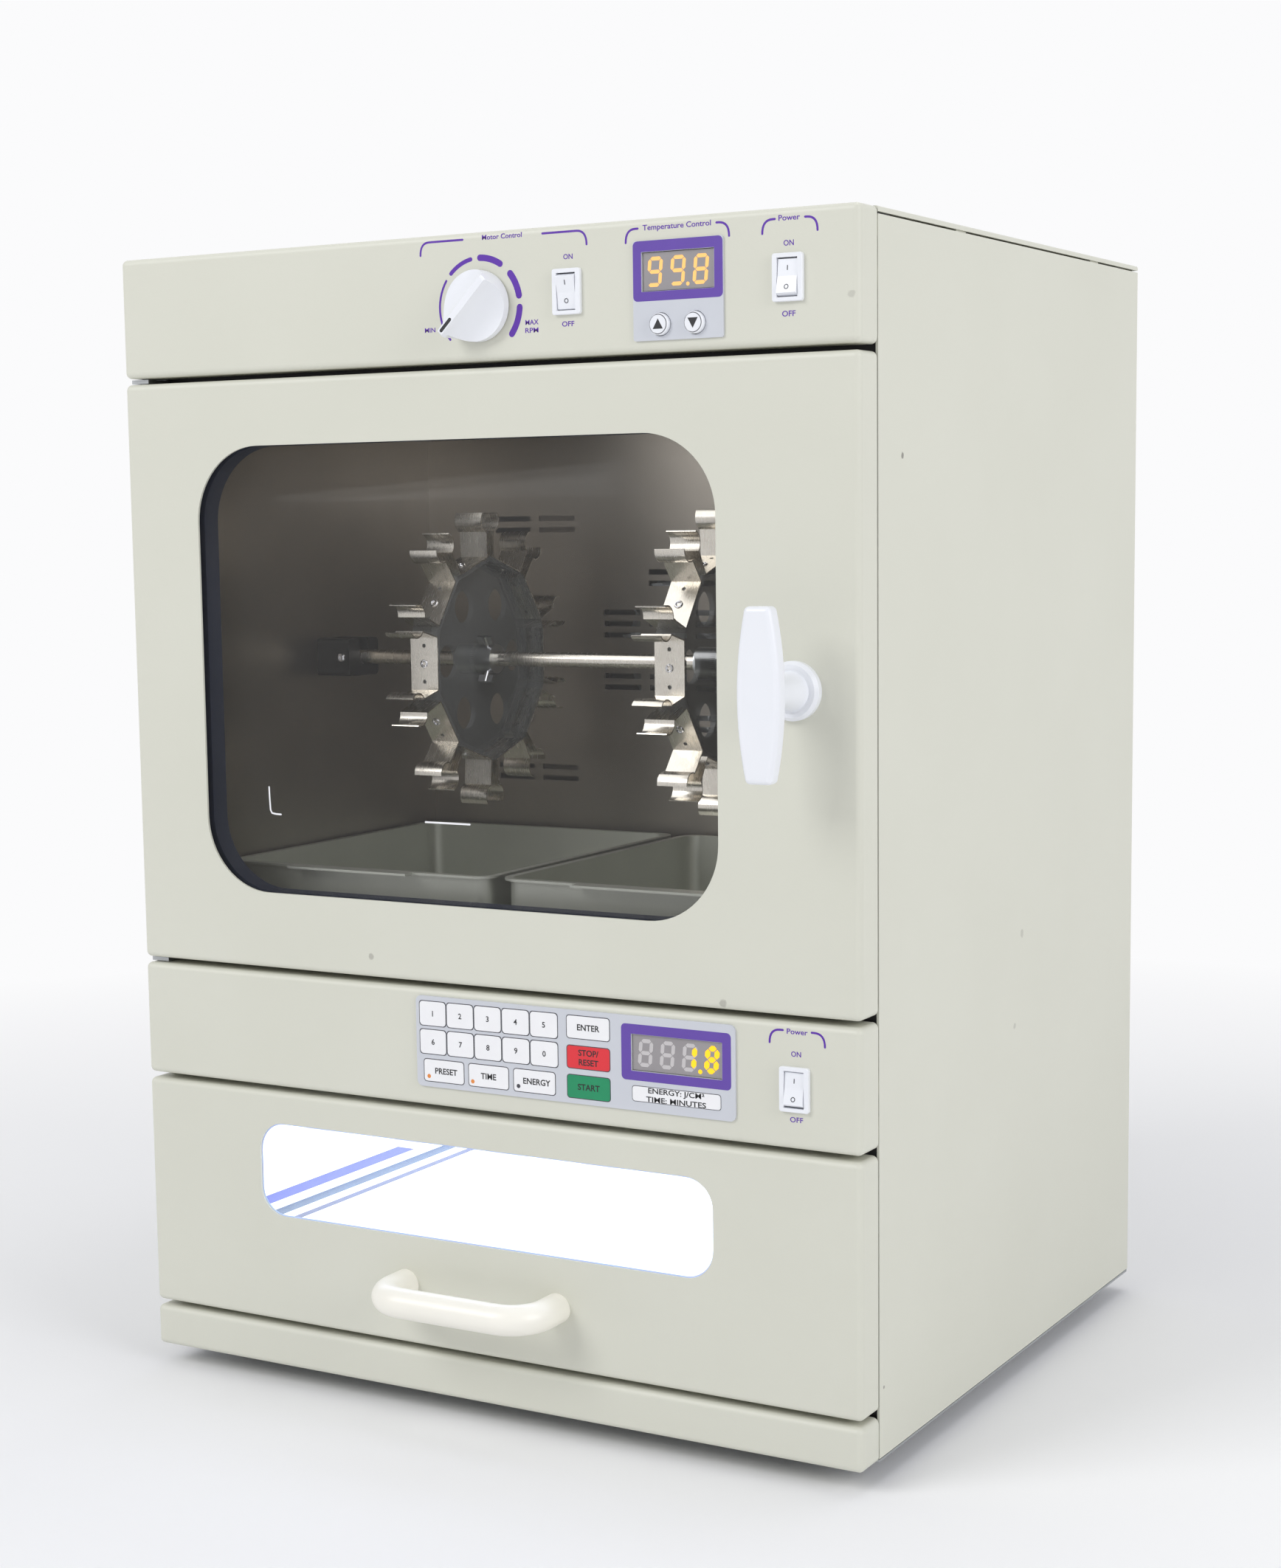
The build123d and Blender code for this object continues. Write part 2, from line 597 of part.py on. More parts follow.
def latch_rosette():
    """Fixed round plate under the turning handle."""
    ring = rod_y(LATCH_X, LATCH_Z, ROSETTE_RADIUS, -ROSETTE_HEIGHT, 0)
    ring = chamfer(ring.faces().sort_by(Axis.Y)[0].edges(), ROSETTE_HEIGHT * 0.35)
    return ring - rod_y(LATCH_X, LATCH_Z, COLLAR_RADIUS + RUNNING_CLEARANCE, -ROSETTE_HEIGHT - 1, 1)


def paddle():
    """Barrel-shaped bar of the handle, seen from the front, with rolled edges."""
    half = PADDLE_LENGTH / 2
    wide = PADDLE_WIDTH / 2
    narrow = PADDLE_END_WIDTH / 2
    right = ThreePointArc((narrow, -half), (wide, 0), (narrow, half))
    left = ThreePointArc((-narrow, half), (-wide, 0), (-narrow, -half))
    outline = make_face([right, Line((narrow, half), (-narrow, half)), left, Line((-narrow, -half), (narrow, -half))])
    bar = extrude(Plane.XZ.offset(HANDLE_REACH - PADDLE_THICKNESS) * Pos(LATCH_X, LATCH_Z) * outline,
                  amount=PADDLE_THICKNESS)
    return fillet(bar.edges(), PADDLE_THICKNESS * 0.28)


def latch_handle():
    """Paddle, flared neck, collar in the rosette, and the spindle that runs through the door."""
    neck_start = HANDLE_REACH - PADDLE_THICKNESS * 0.6
    profile = Plane.XY * make_face([
        Line((0, -neck_start), (SPINDLE_RADIUS * 1.9, -neck_start)),
        ThreePointArc((SPINDLE_RADIUS * 1.9, -neck_start), (SPINDLE_RADIUS * 1.7, -neck_start * 0.5),
                      (COLLAR_RADIUS * 0.92, -ROSETTE_HEIGHT)),
        Line((COLLAR_RADIUS * 0.92, -ROSETTE_HEIGHT), (COLLAR_RADIUS, -ROSETTE_HEIGHT)),
        Line((COLLAR_RADIUS, -ROSETTE_HEIGHT), (COLLAR_RADIUS, -SOFT_CLEARANCE)),
        Line((COLLAR_RADIUS, -SOFT_CLEARANCE), (0, -SOFT_CLEARANCE)),
        Line((0, -SOFT_CLEARANCE), (0, -neck_start)),
    ])
    neck = Pos(LATCH_X, 0, LATCH_Z) * revolve(profile, Axis.Y)
    spindle = rod_y(LATCH_X, LATCH_Z, SPINDLE_RADIUS, -ROSETTE_HEIGHT, CAM_Y + CAM_THICKNESS)
    return paddle() + neck + spindle


def latch_cam():
    """Cam on the spindle's end: it points up at rest and goes behind the frame when the handle turns."""
    half = CAM_WIDTH / 2
    tip = Pos(LATCH_X, LATCH_Z + CAM_LENGTH - half) * Circle(half)
    eye = Pos(LATCH_X, LATCH_Z) * Circle(CAM_EYE_RADIUS)
    bar = Pos(LATCH_X, LATCH_Z + (CAM_LENGTH - half) / 2) * Rectangle(CAM_WIDTH, CAM_LENGTH - half)
    outline = (tip + eye + bar) - Pos(LATCH_X, LATCH_Z) * Circle(SPINDLE_RADIUS)
    return extrude(Plane.XZ.offset(-CAM_Y) * outline, amount=-CAM_THICKNESS)


def oven_liner():
    """Inner box of the oven, open at the front, with a flange behind the frame."""
    box = slab(OVEN_X0 - LINER, OVEN_X1 + LINER, FRAME_BACK, CHAMBER_BACK + LINER, OVEN_Z0 - LINER, OVEN_Z1 + LINER)
    lip_right = LATCH_X - CAM_SLOT
    box += slab(OVEN_X0 - LINER_FLANGE, lip_right, FRAME_BACK, FRAME_BACK + LINER,
                OVEN_Z0 - LINER_FLANGE, OVEN_Z1 + LINER_FLANGE)
    box -= slab(OVEN_X0, OVEN_X1, 0, CHAMBER_BACK, OVEN_Z0, OVEN_Z1)
    box -= rod_x(SHAFT_Y, SHAFT_Z, SHAFT_RADIUS + 1, OVEN_X1 - 1, OVEN_X1 + LINER + 1)
    box -= rod_y(OVEN_X, SHAFT_Z, FAN_SHAFT_RADIUS + 1, CHAMBER_BACK - 1, CHAMBER_BACK + LINER + 1)
    for x in heater_terminals():
        box -= rod_y(x, SHAFT_Z, HEATER_TUBE, CHAMBER_BACK - 1, CHAMBER_BACK + LINER + 1)
    return box - rod_z(PROBE_X, PROBE_Y, PROBE_RADIUS, OVEN_Z1 - 1, OVEN_Z1 + LINER + 1)


def oven_insulation():
    """Blanket round the liner, open at the front."""
    wrap = LINER + INSULATION
    blanket = slab(OVEN_X0 - wrap, OVEN_X1 + wrap, INSULATION_SETBACK, INSULATION_BACK,
                   OVEN_Z0 - wrap, OVEN_Z1 + wrap)
    blanket -= slab(OVEN_X0 - LINER, OVEN_X1 + LINER, 0, CHAMBER_BACK + LINER, OVEN_Z0 - LINER, OVEN_Z1 + LINER)
    blanket -= rod_x(SHAFT_Y, SHAFT_Z, SHAFT_RADIUS + 2, OVEN_X1, MOTOR_X + 1)
    blanket -= rod_y(OVEN_X, SHAFT_Z, FAN_SHAFT_RADIUS + 2, CHAMBER_BACK, INSULATION_BACK + 1)
    for x in heater_terminals():
        blanket -= rod_y(x, SHAFT_Z, HEATER_TUBE, CHAMBER_BACK, INSULATION_BACK + 1)
    return blanket - rod_z(PROBE_X, PROBE_Y, PROBE_RADIUS, OVEN_Z1, OVEN_Z1 + wrap + 1)


def slot_rows(x0, z, count):
    """A row of slots in the baffle, from its left end."""
    row = []
    for index in range(count):
        left = x0 + index * SLOT_PITCH_X
        row.append(slab(left, left + SLOT_LENGTH, 0, CABINET_DEPTH, z - SLOT_HEIGHT / 2, z + SLOT_HEIGHT / 2))
    return row


def air_baffle():
    """Sheet in front of the fan: outlet slots near the corners, inlet slots in the middle."""
    baffle = slab(OVEN_X0, OVEN_X1, BAFFLE_Y, BAFFLE_Y + LINER, OVEN_Z0, OVEN_Z1)
    corner = CORNER_SLOT_X + SLOT_LENGTH + SLOT_PITCH_X
    for up in (-1, 1):
        for step in range(2):
            z = SHAFT_Z + up * (CORNER_SLOT_Z + step * SLOT_PITCH_Z)
            for slot in slot_rows(OVEN_X - corner, z, 2) + slot_rows(OVEN_X + CORNER_SLOT_X, z, 2):
                baffle -= slot
            z = SHAFT_Z + up * (RING_SLOT_Z + step * SLOT_PITCH_Z)
            for slot in slot_rows(OVEN_X - CENTRE_SLOT_X + SLOT_PITCH_X, z, 2):
                baffle -= slot
        for step in range(3):
            z = SHAFT_Z + up * (CENTRE_SLOT_Z + step * SLOT_PITCH_Z)
            for slot in slot_rows(OVEN_X - CENTRE_SLOT_X, z, 4):
                baffle -= slot
    return baffle


def heater_terminals():
    return (OVEN_X - HEATER_RADIUS, OVEN_X + HEATER_RADIUS)


def fan_centre_y():
    return CHAMBER_BACK - FAN_BACK_GAP - FAN_DEPTH / 2


def heater_element():
    """Square loop of heater tube round the fan, on two terminals that run out through the back."""
    reach = HEATER_RADIUS
    path = FilletPolyline((-reach, 0), (-reach, reach), (reach, reach), (reach, 0), radius=HEATER_BEND)
    section = Plane(origin=(-reach, 0, 0), z_dir=(0, 1, 0)) * Circle(HEATER_TUBE)
    upper = Rot(90, 0, 0) * sweep(section, path)
    element = Pos(OVEN_X, fan_centre_y(), SHAFT_Z) * (upper + mirror(upper, about=Plane.XY))
    for x in heater_terminals():
        element += rod_y(x, SHAFT_Z, HEATER_TUBE, fan_centre_y(), INSULATION_BACK + LINER_FLANGE)
    return element


def fan_wheel():
    """Centrifugal fan: back plate, ring of blades, hub and shaft into the motor."""
    back = CHAMBER_BACK - FAN_BACK_GAP
    front = back - FAN_DEPTH
    wheel = rod_y(OVEN_X, SHAFT_Z, FAN_RADIUS, back - FAN_PLATE, back)
    wheel += rod_y(OVEN_X, SHAFT_Z, FAN_HUB_RADIUS, front + FAN_DEPTH / 2, back)
    blade = slab(FAN_RADIUS * 0.62, FAN_RADIUS * 0.98, front, back, -FAN_PLATE / 2, FAN_PLATE / 2)
    blade = Pos(FAN_RADIUS * 0.62, 0, 0) * Rot(0, 28, 0) * Pos(-FAN_RADIUS * 0.62, 0, 0) * blade
    for index in range(FAN_BLADES):
        wheel += Pos(OVEN_X, 0, SHAFT_Z) * Rot(0, index * 360 / FAN_BLADES, 0) * blade
    return wheel + rod_y(OVEN_X, SHAFT_Z, FAN_SHAFT_RADIUS, back - FAN_PLATE,
                         INSULATION_BACK + FAN_MOTOR_LENGTH / 2)


def fan_motor():
    motor = rod_y(OVEN_X, SHAFT_Z, FAN_MOTOR_RADIUS, INSULATION_BACK, INSULATION_BACK + FAN_MOTOR_LENGTH)
    motor = chamfer(motor.faces().sort_by(Axis.Y)[-1].edges(), SEAM)
    flange = front_plate(OVEN_X - FAN_MOTOR_RADIUS * 1.2, OVEN_X + FAN_MOTOR_RADIUS * 1.2,
                         SHAFT_Z - FAN_MOTOR_RADIUS * 1.2, SHAFT_Z + FAN_MOTOR_RADIUS * 1.2, LINER_FLANGE,
                         INSULATION_BACK, INSULATION_BACK + CHANNEL_WALL)
    return motor + flange - rod_y(OVEN_X, SHAFT_Z, FAN_SHAFT_RADIUS + RUNNING_CLEARANCE, 0,
                                  INSULATION_BACK + FAN_MOTOR_LENGTH / 2 + SOFT_CLEARANCE)


def temperature_probe():
    """Rod through the ceiling of the oven with a plug on top of the blanket."""
    seat = OVEN_Z1 + LINER + INSULATION
    rod = rod_z(PROBE_X, PROBE_Y, PROBE_RADIUS, OVEN_Z1 - PROBE_REACH, seat)
    return rod + rod_z(PROBE_X, PROBE_Y, PROBE_RADIUS * 2.5, seat, seat + LUG)


def drip_trays():
    """Two open trays side by side on the chamber floor, each with a rim and a finger tab in front."""
    trays = []
    width = (OVEN_X1 - OVEN_X0 - 2 * TRAY_SIDE_GAP - TRAY_MIDDLE_GAP) / 2
    for x0 in (OVEN_X0 + TRAY_SIDE_GAP, OVEN_X1 - TRAY_SIDE_GAP - width):
        centre = Pos(x0 + width / 2, TRAY_Y + TRAY_DEPTH / 2, OVEN_Z0)
        inset = 2 * TRAY_RIM
        outline = RectangleRounded(width - inset, TRAY_DEPTH - inset, TRAY_RADIUS)
        hollow = RectangleRounded(width - inset - 2 * TRAY_WALL, TRAY_DEPTH - inset - 2 * TRAY_WALL,
                                  TRAY_RADIUS - TRAY_WALL)
        tray = extrude(outline, amount=TRAY_HEIGHT)
        rim = Pos(0, 0, TRAY_HEIGHT - TRAY_WALL) * extrude(
            RectangleRounded(width, TRAY_DEPTH, TRAY_RADIUS + TRAY_RIM), amount=TRAY_WALL)
        tab = slab(-TRAY_TAB_LENGTH / 2, TRAY_TAB_LENGTH / 2, -TRAY_DEPTH / 2 - TRAY_TAB, -TRAY_DEPTH / 2 + TRAY_RIM,
                   TRAY_HEIGHT - TRAY_WALL, TRAY_HEIGHT)
        tray = tray + rim + tab - Pos(0, 0, TRAY_WALL) * extrude(hollow, amount=TRAY_HEIGHT)
        trays.append(centre * tray)
    return trays


def wheel_places():
    return (OVEN_X - WHEEL_SPACING / 2, OVEN_X + WHEEL_SPACING / 2)


def carousel_shaft():
    """Round shaft from the bearing block on the left into the gear motor on the right."""
    return rod_x(SHAFT_Y, SHAFT_Z, SHAFT_RADIUS, OVEN_X0 + SHAFT_END_PLAY, MOTOR_X + MOTOR_BORE_DEPTH)


def wheel(x):
    """Clear moulded wheel: a ten-sided rim, a pierced web and the bore of its hub."""
    half_turn = 180 / CLIP_COUNT
    corner = RIM_APOTHEM / cos(radians(half_turn))
    inner_corner = (RIM_APOTHEM - RIM_WALL) / cos(radians(half_turn))
    place = Plane.YZ.offset(x) * Pos(SHAFT_Y, SHAFT_Z)
    outline = RegularPolygon(corner, CLIP_COUNT, rotation=half_turn)
    hollow = RegularPolygon(inner_corner, CLIP_COUNT, rotation=half_turn)
    rim = extrude(place * (outline - hollow), amount=RIM_WIDTH / 2, both=True)
    web = hollow - Circle(HUB_RADIUS)
    for index in range(WEB_HOLES):
        web -= Rot(0, 0, index * 360 / WEB_HOLES) * Pos(WEB_HOLE_CIRCLE, 0) * Circle(WEB_HOLE_RADIUS)
    return rim + extrude(place * web, amount=WEB / 2, both=True)


def thumb_screw_place(x, index):
    """Frame of a radial screw: its own Z runs outwards from the shaft."""
    angle = THUMB_ANGLE if index else -THUMB_ANGLE
    return Pos(x + HUB_LENGTH / 3, SHAFT_Y, SHAFT_Z) * Rot(angle + 90, 0, 0)


def wheel_hubs():
    """Metal sleeves on the shaft that carry the wheels."""
    hubs = []
    for x in wheel_places():
        hub = rod_x(SHAFT_Y, SHAFT_Z, HUB_RADIUS, x - HUB_LENGTH / 2, x + HUB_LENGTH / 2)
        hub -= rod_x(SHAFT_Y, SHAFT_Z, SHAFT_RADIUS, x - HUB_LENGTH, x + HUB_LENGTH)
        for index in range(2):
            hub -= thumb_screw_place(x, index) * rod_z(0, 0, THUMB_STEM_RADIUS, 0, 2 * HUB_RADIUS)
        hubs.append(hub)
    return hubs


def thumb_screws():
    """Winged set screws that clamp each hub to the shaft."""
    screws = []
    for x in wheel_places():
        for index in range(2):
            stem = rod_z(0, 0, THUMB_STEM_RADIUS, SHAFT_RADIUS, HUB_RADIUS + THUMB_HEAD)
            wings = slab(-THUMB_RADIUS, THUMB_RADIUS, -THUMB_WING / 2, THUMB_WING / 2,
                         HUB_RADIUS + THUMB_HEAD / 3, HUB_RADIUS + THUMB_HEAD)
            screws.append(thumb_screw_place(x, index) * (stem + wings))
    return screws


def clip_outline():
    """Outer line of half a spring clip: flat base, flat flank, rolled waist and flared lip."""
    corner = (CLIP_BASE / 2, 0)
    belly = (CLIP_BELLY / 2, CLIP_HEIGHT * 0.58)
    waist = (CLIP_WAIST / 2, CLIP_HEIGHT * 0.84)
    lip = (CLIP_LIP / 2, CLIP_HEIGHT)
    return Wire([Line((0, 0), corner), Line(corner, belly), ThreePointArc(belly, waist, lip)])


def spring_clip():
    """Bent strip that stands on the plane Z = 0, with its width along X and two holes in its base."""
    strip = clip_outline().offset_2d(CLIP_SHEET, kind=Kind.INTERSECTION, side=Side.LEFT, closed=True)
    half = extrude(Plane.YZ * make_face(strip.edges()), amount=CLIP_WIDTH / 2, both=True)
    clip = half + mirror(half, about=Plane.XZ)
    for y in (-CLIP_HOLE_SPACING / 2, CLIP_HOLE_SPACING / 2):
        clip -= rod_z(0, y, CLIP_HOLE_RADIUS, -1, CLIP_SHEET + 1)
    return clip


def bottle_clips(x):
    """A ring of clips, one on each flat of the wheel's rim."""
    clip = Pos(0, 0, RIM_APOTHEM) * spring_clip()
    start = 90
    step = 360 / CLIP_COUNT
    return [Pos(x, SHAFT_Y, SHAFT_Z) * Rot(start + index * step, 0, 0) * clip for index in range(CLIP_COUNT)]


def shaft_bearing_block():
    """Block on the left wall with a slot from above that the shaft rests in."""
    x1 = OVEN_X0 + BEARING_LENGTH
    block = slab(OVEN_X0, x1, SHAFT_Y - BEARING_DEPTH / 2, SHAFT_Y + BEARING_DEPTH / 2,
                 SHAFT_Z - BEARING_HEIGHT / 2, SHAFT_Z + BEARING_HEIGHT / 2)
    block = fillet(block.edges().filter_by(Axis.X), SEAM)
    play = SHAFT_RADIUS + RUNNING_CLEARANCE
    start = OVEN_X0 + SHAFT_END_PLAY - RUNNING_CLEARANCE
    block -= rod_x(SHAFT_Y, SHAFT_Z, play, start, x1 + 1)
    return block - slab(start, x1 + 1, SHAFT_Y - play, SHAFT_Y + play, SHAFT_Z, SHAFT_Z + BEARING_HEIGHT)


def gear_motor():
    """Flat gearbox against the blanket, with the motor's can below and a bore for the shaft."""
    half = MOTOR_SIZE / 2
    box = slab(MOTOR_X, MOTOR_X + MOTOR_THICKNESS * 0.5, SHAFT_Y - half, SHAFT_Y + half, SHAFT_Z - half, SHAFT_Z + half)
    box = fillet(box.edges().filter_by(Axis.X), SEAM)
    can = rod_x(SHAFT_Y, SHAFT_Z, MOTOR_CAN_RADIUS, MOTOR_X, MOTOR_X + MOTOR_THICKNESS)
    return box + can - rod_x(SHAFT_Y, SHAFT_Z, SHAFT_RADIUS + RUNNING_CLEARANCE, MOTOR_X - 1,
                             MOTOR_X + MOTOR_BORE_DEPTH + RUNNING_CLEARANCE)


def uv_chamber_liner():
    """Polished box over the drawer: ceiling, two sides and back."""
    shell = slab(UV_X0 - LINER, UV_X1 + LINER, FRAME_BACK, UV_BACK + LINER,
                 UV_FLOOR - LUG, UV_TOP + LINER)
    return shell - slab(UV_X0, UV_X1, 0, UV_BACK, 0, UV_TOP)


def tube_places():
    return [UV_X + (index - (TUBE_COUNT - 1) / 2) * TUBE_PITCH for index in range(TUBE_COUNT)]


def uv_tubes():
    """Straight two-pin tubes that lie from front to back under the ceiling."""
    tubes = []
    z = UV_TOP - TUBE_DROP
    for x in tube_places():
        tube = rod_y(x, z, TUBE_RADIUS, TUBE_START, TUBE_START + TUBE_LENGTH)
        for side in (-1, 1):
            tube += rod_y(x + side * TUBE_PIN_SPACING / 2, z, TUBE_PIN_RADIUS,
                          TUBE_START - TUBE_PIN_LENGTH, TUBE_START + TUBE_LENGTH + TUBE_PIN_LENGTH)
        tubes.append(tube)
    return tubes


def tube_sockets():
    """A holder at each end of every tube, hung from the ceiling."""
    sockets = []
    z = UV_TOP - TUBE_DROP
    for x in tube_places():
        for y0 in (TUBE_START - SOCKET_THICKNESS, TUBE_START + TUBE_LENGTH):
            block = slab(x - SOCKET_WIDTH / 2, x + SOCKET_WIDTH / 2, y0, y0 + SOCKET_THICKNESS,
                         UV_TOP - SOCKET_DROP, UV_TOP)
            slot = TUBE_PIN_SPACING / 2 + TUBE_PIN_RADIUS
            block -= slab(x - slot, x + slot, TUBE_START - TUBE_PIN_LENGTH,
                          TUBE_START + TUBE_LENGTH + TUBE_PIN_LENGTH, z - TUBE_PIN_RADIUS, z + TUBE_PIN_RADIUS)
            sockets.append(block)
    return sockets


def ballasts():
    """Two boxes of tube control gear on top of the chamber."""
    boxes = []
    seat = UV_TOP + LINER
    for index in range(2):
        y0 = BALLAST_START + index * BALLAST_PITCH
        box = slab(UV_X - BALLAST_LENGTH / 2, UV_X + BALLAST_LENGTH / 2, y0, y0 + BALLAST_DEPTH,
                   seat, seat + BALLAST_HEIGHT)
        foot = slab(UV_X - BALLAST_LENGTH / 2 - LUG, UV_X + BALLAST_LENGTH / 2 + LUG, y0, y0 + BALLAST_DEPTH,
                    seat, seat + SHEET)
        boxes.append(box + foot)
    return boxes


def drawer_front():
    """Folded front of the drawer with the opening of its window."""
    pan = folded_pan(DRAWER_BOTTOM, DRAWER_TOP, DOOR_DEPTH)
    return pan - front_plate(DRAWER_WINDOW_X0, DRAWER_WINDOW_X1, DRAWER_WINDOW_Z0, DRAWER_WINDOW_Z1,
                             DRAWER_WINDOW_RADIUS, -1, SHEET + 1)


def drawer_window():
    """Acrylic pane behind the opening."""
    return front_plate(DRAWER_WINDOW_X0 - ACRYLIC_LAP, DRAWER_WINDOW_X1 + ACRYLIC_LAP,
                       DRAWER_WINDOW_Z0 - ACRYLIC_LAP, DRAWER_WINDOW_Z1 + ACRYLIC_LAP,
                       DRAWER_WINDOW_RADIUS, SHEET, SHEET + ACRYLIC)


def drawer_tray():
    """Polished floor of the chamber: it slides out with the front, and its sides are folded down."""
    x0 = UV_X0 + DRAWER_SIDE_CLEARANCE
    x1 = UV_X1 - DRAWER_SIDE_CLEARANCE
    y0 = SHEET + ACRYLIC
    tray = slab(x0, x1, y0, DRAWER_TRAY_BACK, UV_FLOOR - DRAWER_TRAY_SIDE, UV_FLOOR)
    return tray - slab(x0 + SHEET, x1 - SHEET, 0, CABINET_DEPTH, 0, UV_FLOOR - SHEET)


def slide_places():
    return (UV_X0 + SLIDE_INSET, UV_X1 - SLIDE_INSET)


def drawer_slides():
    """Moving rails under the tray: a web with a foot, and a plate against the drawer's front."""
    slides = []
    top = UV_FLOOR - SHEET
    for x in slide_places():
        slide = slab(x - SLIDE_WEB / 2, x + SLIDE_WEB / 2, SHEET, SLIDE_LENGTH, SLIDE_BOTTOM, top)
        slide += slab(x - SLIDE_FOOT_WIDTH / 2, x + SLIDE_FOOT_WIDTH / 2, SHEET, SLIDE_LENGTH,
                      SLIDE_BOTTOM, SLIDE_BOTTOM + SLIDE_FOOT)
        slide += slab(x - SLIDE_FOOT_WIDTH / 2, x + SLIDE_FOOT_WIDTH / 2, SHEET, SHEET + CHANNEL_WALL,
                      SLIDE_BOTTOM, top)
        slides.append(slide)
    return slides


def drawer_channels():
    """Fixed channels round the rails' feet, on legs that stand on the base pan."""
    channels = []
    inner = SLIDE_FOOT_WIDTH / 2 + SOFT_CLEARANCE
    outer = inner + CHANNEL_WALL
    slot = SLIDE_WEB / 2 + SOFT_CLEARANCE
    z0 = SLIDE_BOTTOM - SOFT_CLEARANCE
    z1 = SLIDE_BOTTOM + SLIDE_FOOT + SOFT_CLEARANCE
    end = UV_BACK - LUG
    for x in slide_places():
        channel = slab(x - outer, x + outer, CHANNEL_START, end, z0 - CHANNEL_WALL, z1 + CHANNEL_WALL)
        channel -= slab(x - inner, x + inner, 0, CABINET_DEPTH, z0, z1)
        channel -= slab(x - slot, x + slot, 0, CABINET_DEPTH, z0, z1 + CHANNEL_WALL + 1)
        for index in range(CHANNEL_LEGS):
            y = CHANNEL_START + index * (end - CHANNEL_START - CHANNEL_LEG) / (CHANNEL_LEGS - 1)
            channel += slab(x - outer, x + outer, y, y + CHANNEL_LEG, BASE_TOP, BASE_TOP + CHANNEL_WALL)
            channel += slab(x - CHANNEL_WALL, x + CHANNEL_WALL, y, y + CHANNEL_LEG, BASE_TOP, z0 - CHANNEL_WALL)
        channels.append(channel)
    return channels


def drawer_handle():
    """Round bar bent into a D, with its feet on the drawer's front."""
    half = PULL_SPACING / 2
    path = FilletPolyline((-half, 0), (-half, -PULL_REACH), (half, -PULL_REACH), (half, 0), radius=PULL_BEND)
    section = Plane(origin=(-half, 0, 0), z_dir=(0, -1, 0)) * Circle(PULL_RADIUS)
    return Pos(0, 0, PULL_Z) * sweep(section, path)


def switch_opening(x, z):
    half_width = SWITCH_BODY_WIDTH / 2
    half_height = SWITCH_BODY_HEIGHT / 2
    return slab(x - half_width, x + half_width, -1, SHEET + 1, z - half_height, z + half_height)


def switch_housings():
    """Snap-in bodies of the rocker switches: a bezel, a hollow body and two pivot holes."""
    housings = []
    for x, z in SWITCH_PLACES.values():
        bezel = front_plate(x - SWITCH_WIDTH / 2, x + SWITCH_WIDTH / 2, z - SWITCH_HEIGHT / 2, z + SWITCH_HEIGHT / 2,
                            SHEET, -SWITCH_BEZEL, 0)
        bezel = chamfer(bezel.faces().sort_by(Axis.Y)[0].edges(), ROCKER_CLEARANCE)
        body = slab(x - SWITCH_BODY_WIDTH / 2, x + SWITCH_BODY_WIDTH / 2, 0, SWITCH_BODY_DEPTH,
                    z - SWITCH_BODY_HEIGHT / 2, z + SWITCH_BODY_HEIGHT / 2)
        half_width = ROCKER_WIDTH / 2 + ROCKER_CLEARANCE
        half_height = ROCKER_RADIUS + ROCKER_CLEARANCE
        body = bezel + body - slab(x - half_width, x + half_width, -SWITCH_BEZEL - 1, SWITCH_CAVITY_DEPTH,
                                   z - half_height, z + half_height)
        reach = ROCKER_WIDTH / 2 + ROCKER_PIN_LENGTH + RUNNING_CLEARANCE
        housings.append(body - rod_x(ROCKER_PIVOT_Y, z, ROCKER_PIN_RADIUS + RUNNING_CLEARANCE, x - reach, x + reach))
    return housings


def rocker(name, tilt):
    """Rocker of a switch: a round back, a shallow V in front and two pivot pins, tilted one way."""
    x, z = SWITCH_PLACES[name]
    rise = ROCKER_RADIUS * sin(radians(ROCKER_TILT_DEG))
    front = -SWITCH_BEZEL - ROCKER_PIVOT_Y + rise * 0.3
    drum = rod_x(0, 0, ROCKER_RADIUS, -ROCKER_WIDTH / 2, ROCKER_WIDTH / 2)
    valley = Polyline((front, 0), (front - rise, 2 * ROCKER_RADIUS), (front - 3 * ROCKER_RADIUS, 2 * ROCKER_RADIUS),
                      (front - 3 * ROCKER_RADIUS, -2 * ROCKER_RADIUS), (front - rise, -2 * ROCKER_RADIUS),
                      close=True)
    cutter = extrude(Plane.YZ * make_face(valley), amount=ROCKER_WIDTH, both=True)
    body = drum - cutter
    body = body + rod_x(0, 0, ROCKER_PIN_RADIUS, -ROCKER_WIDTH / 2 - ROCKER_PIN_LENGTH,
                        ROCKER_WIDTH / 2 + ROCKER_PIN_LENGTH)
    return Pos(x, ROCKER_PIVOT_Y, z) * Rot(tilt, 0, 0) * body


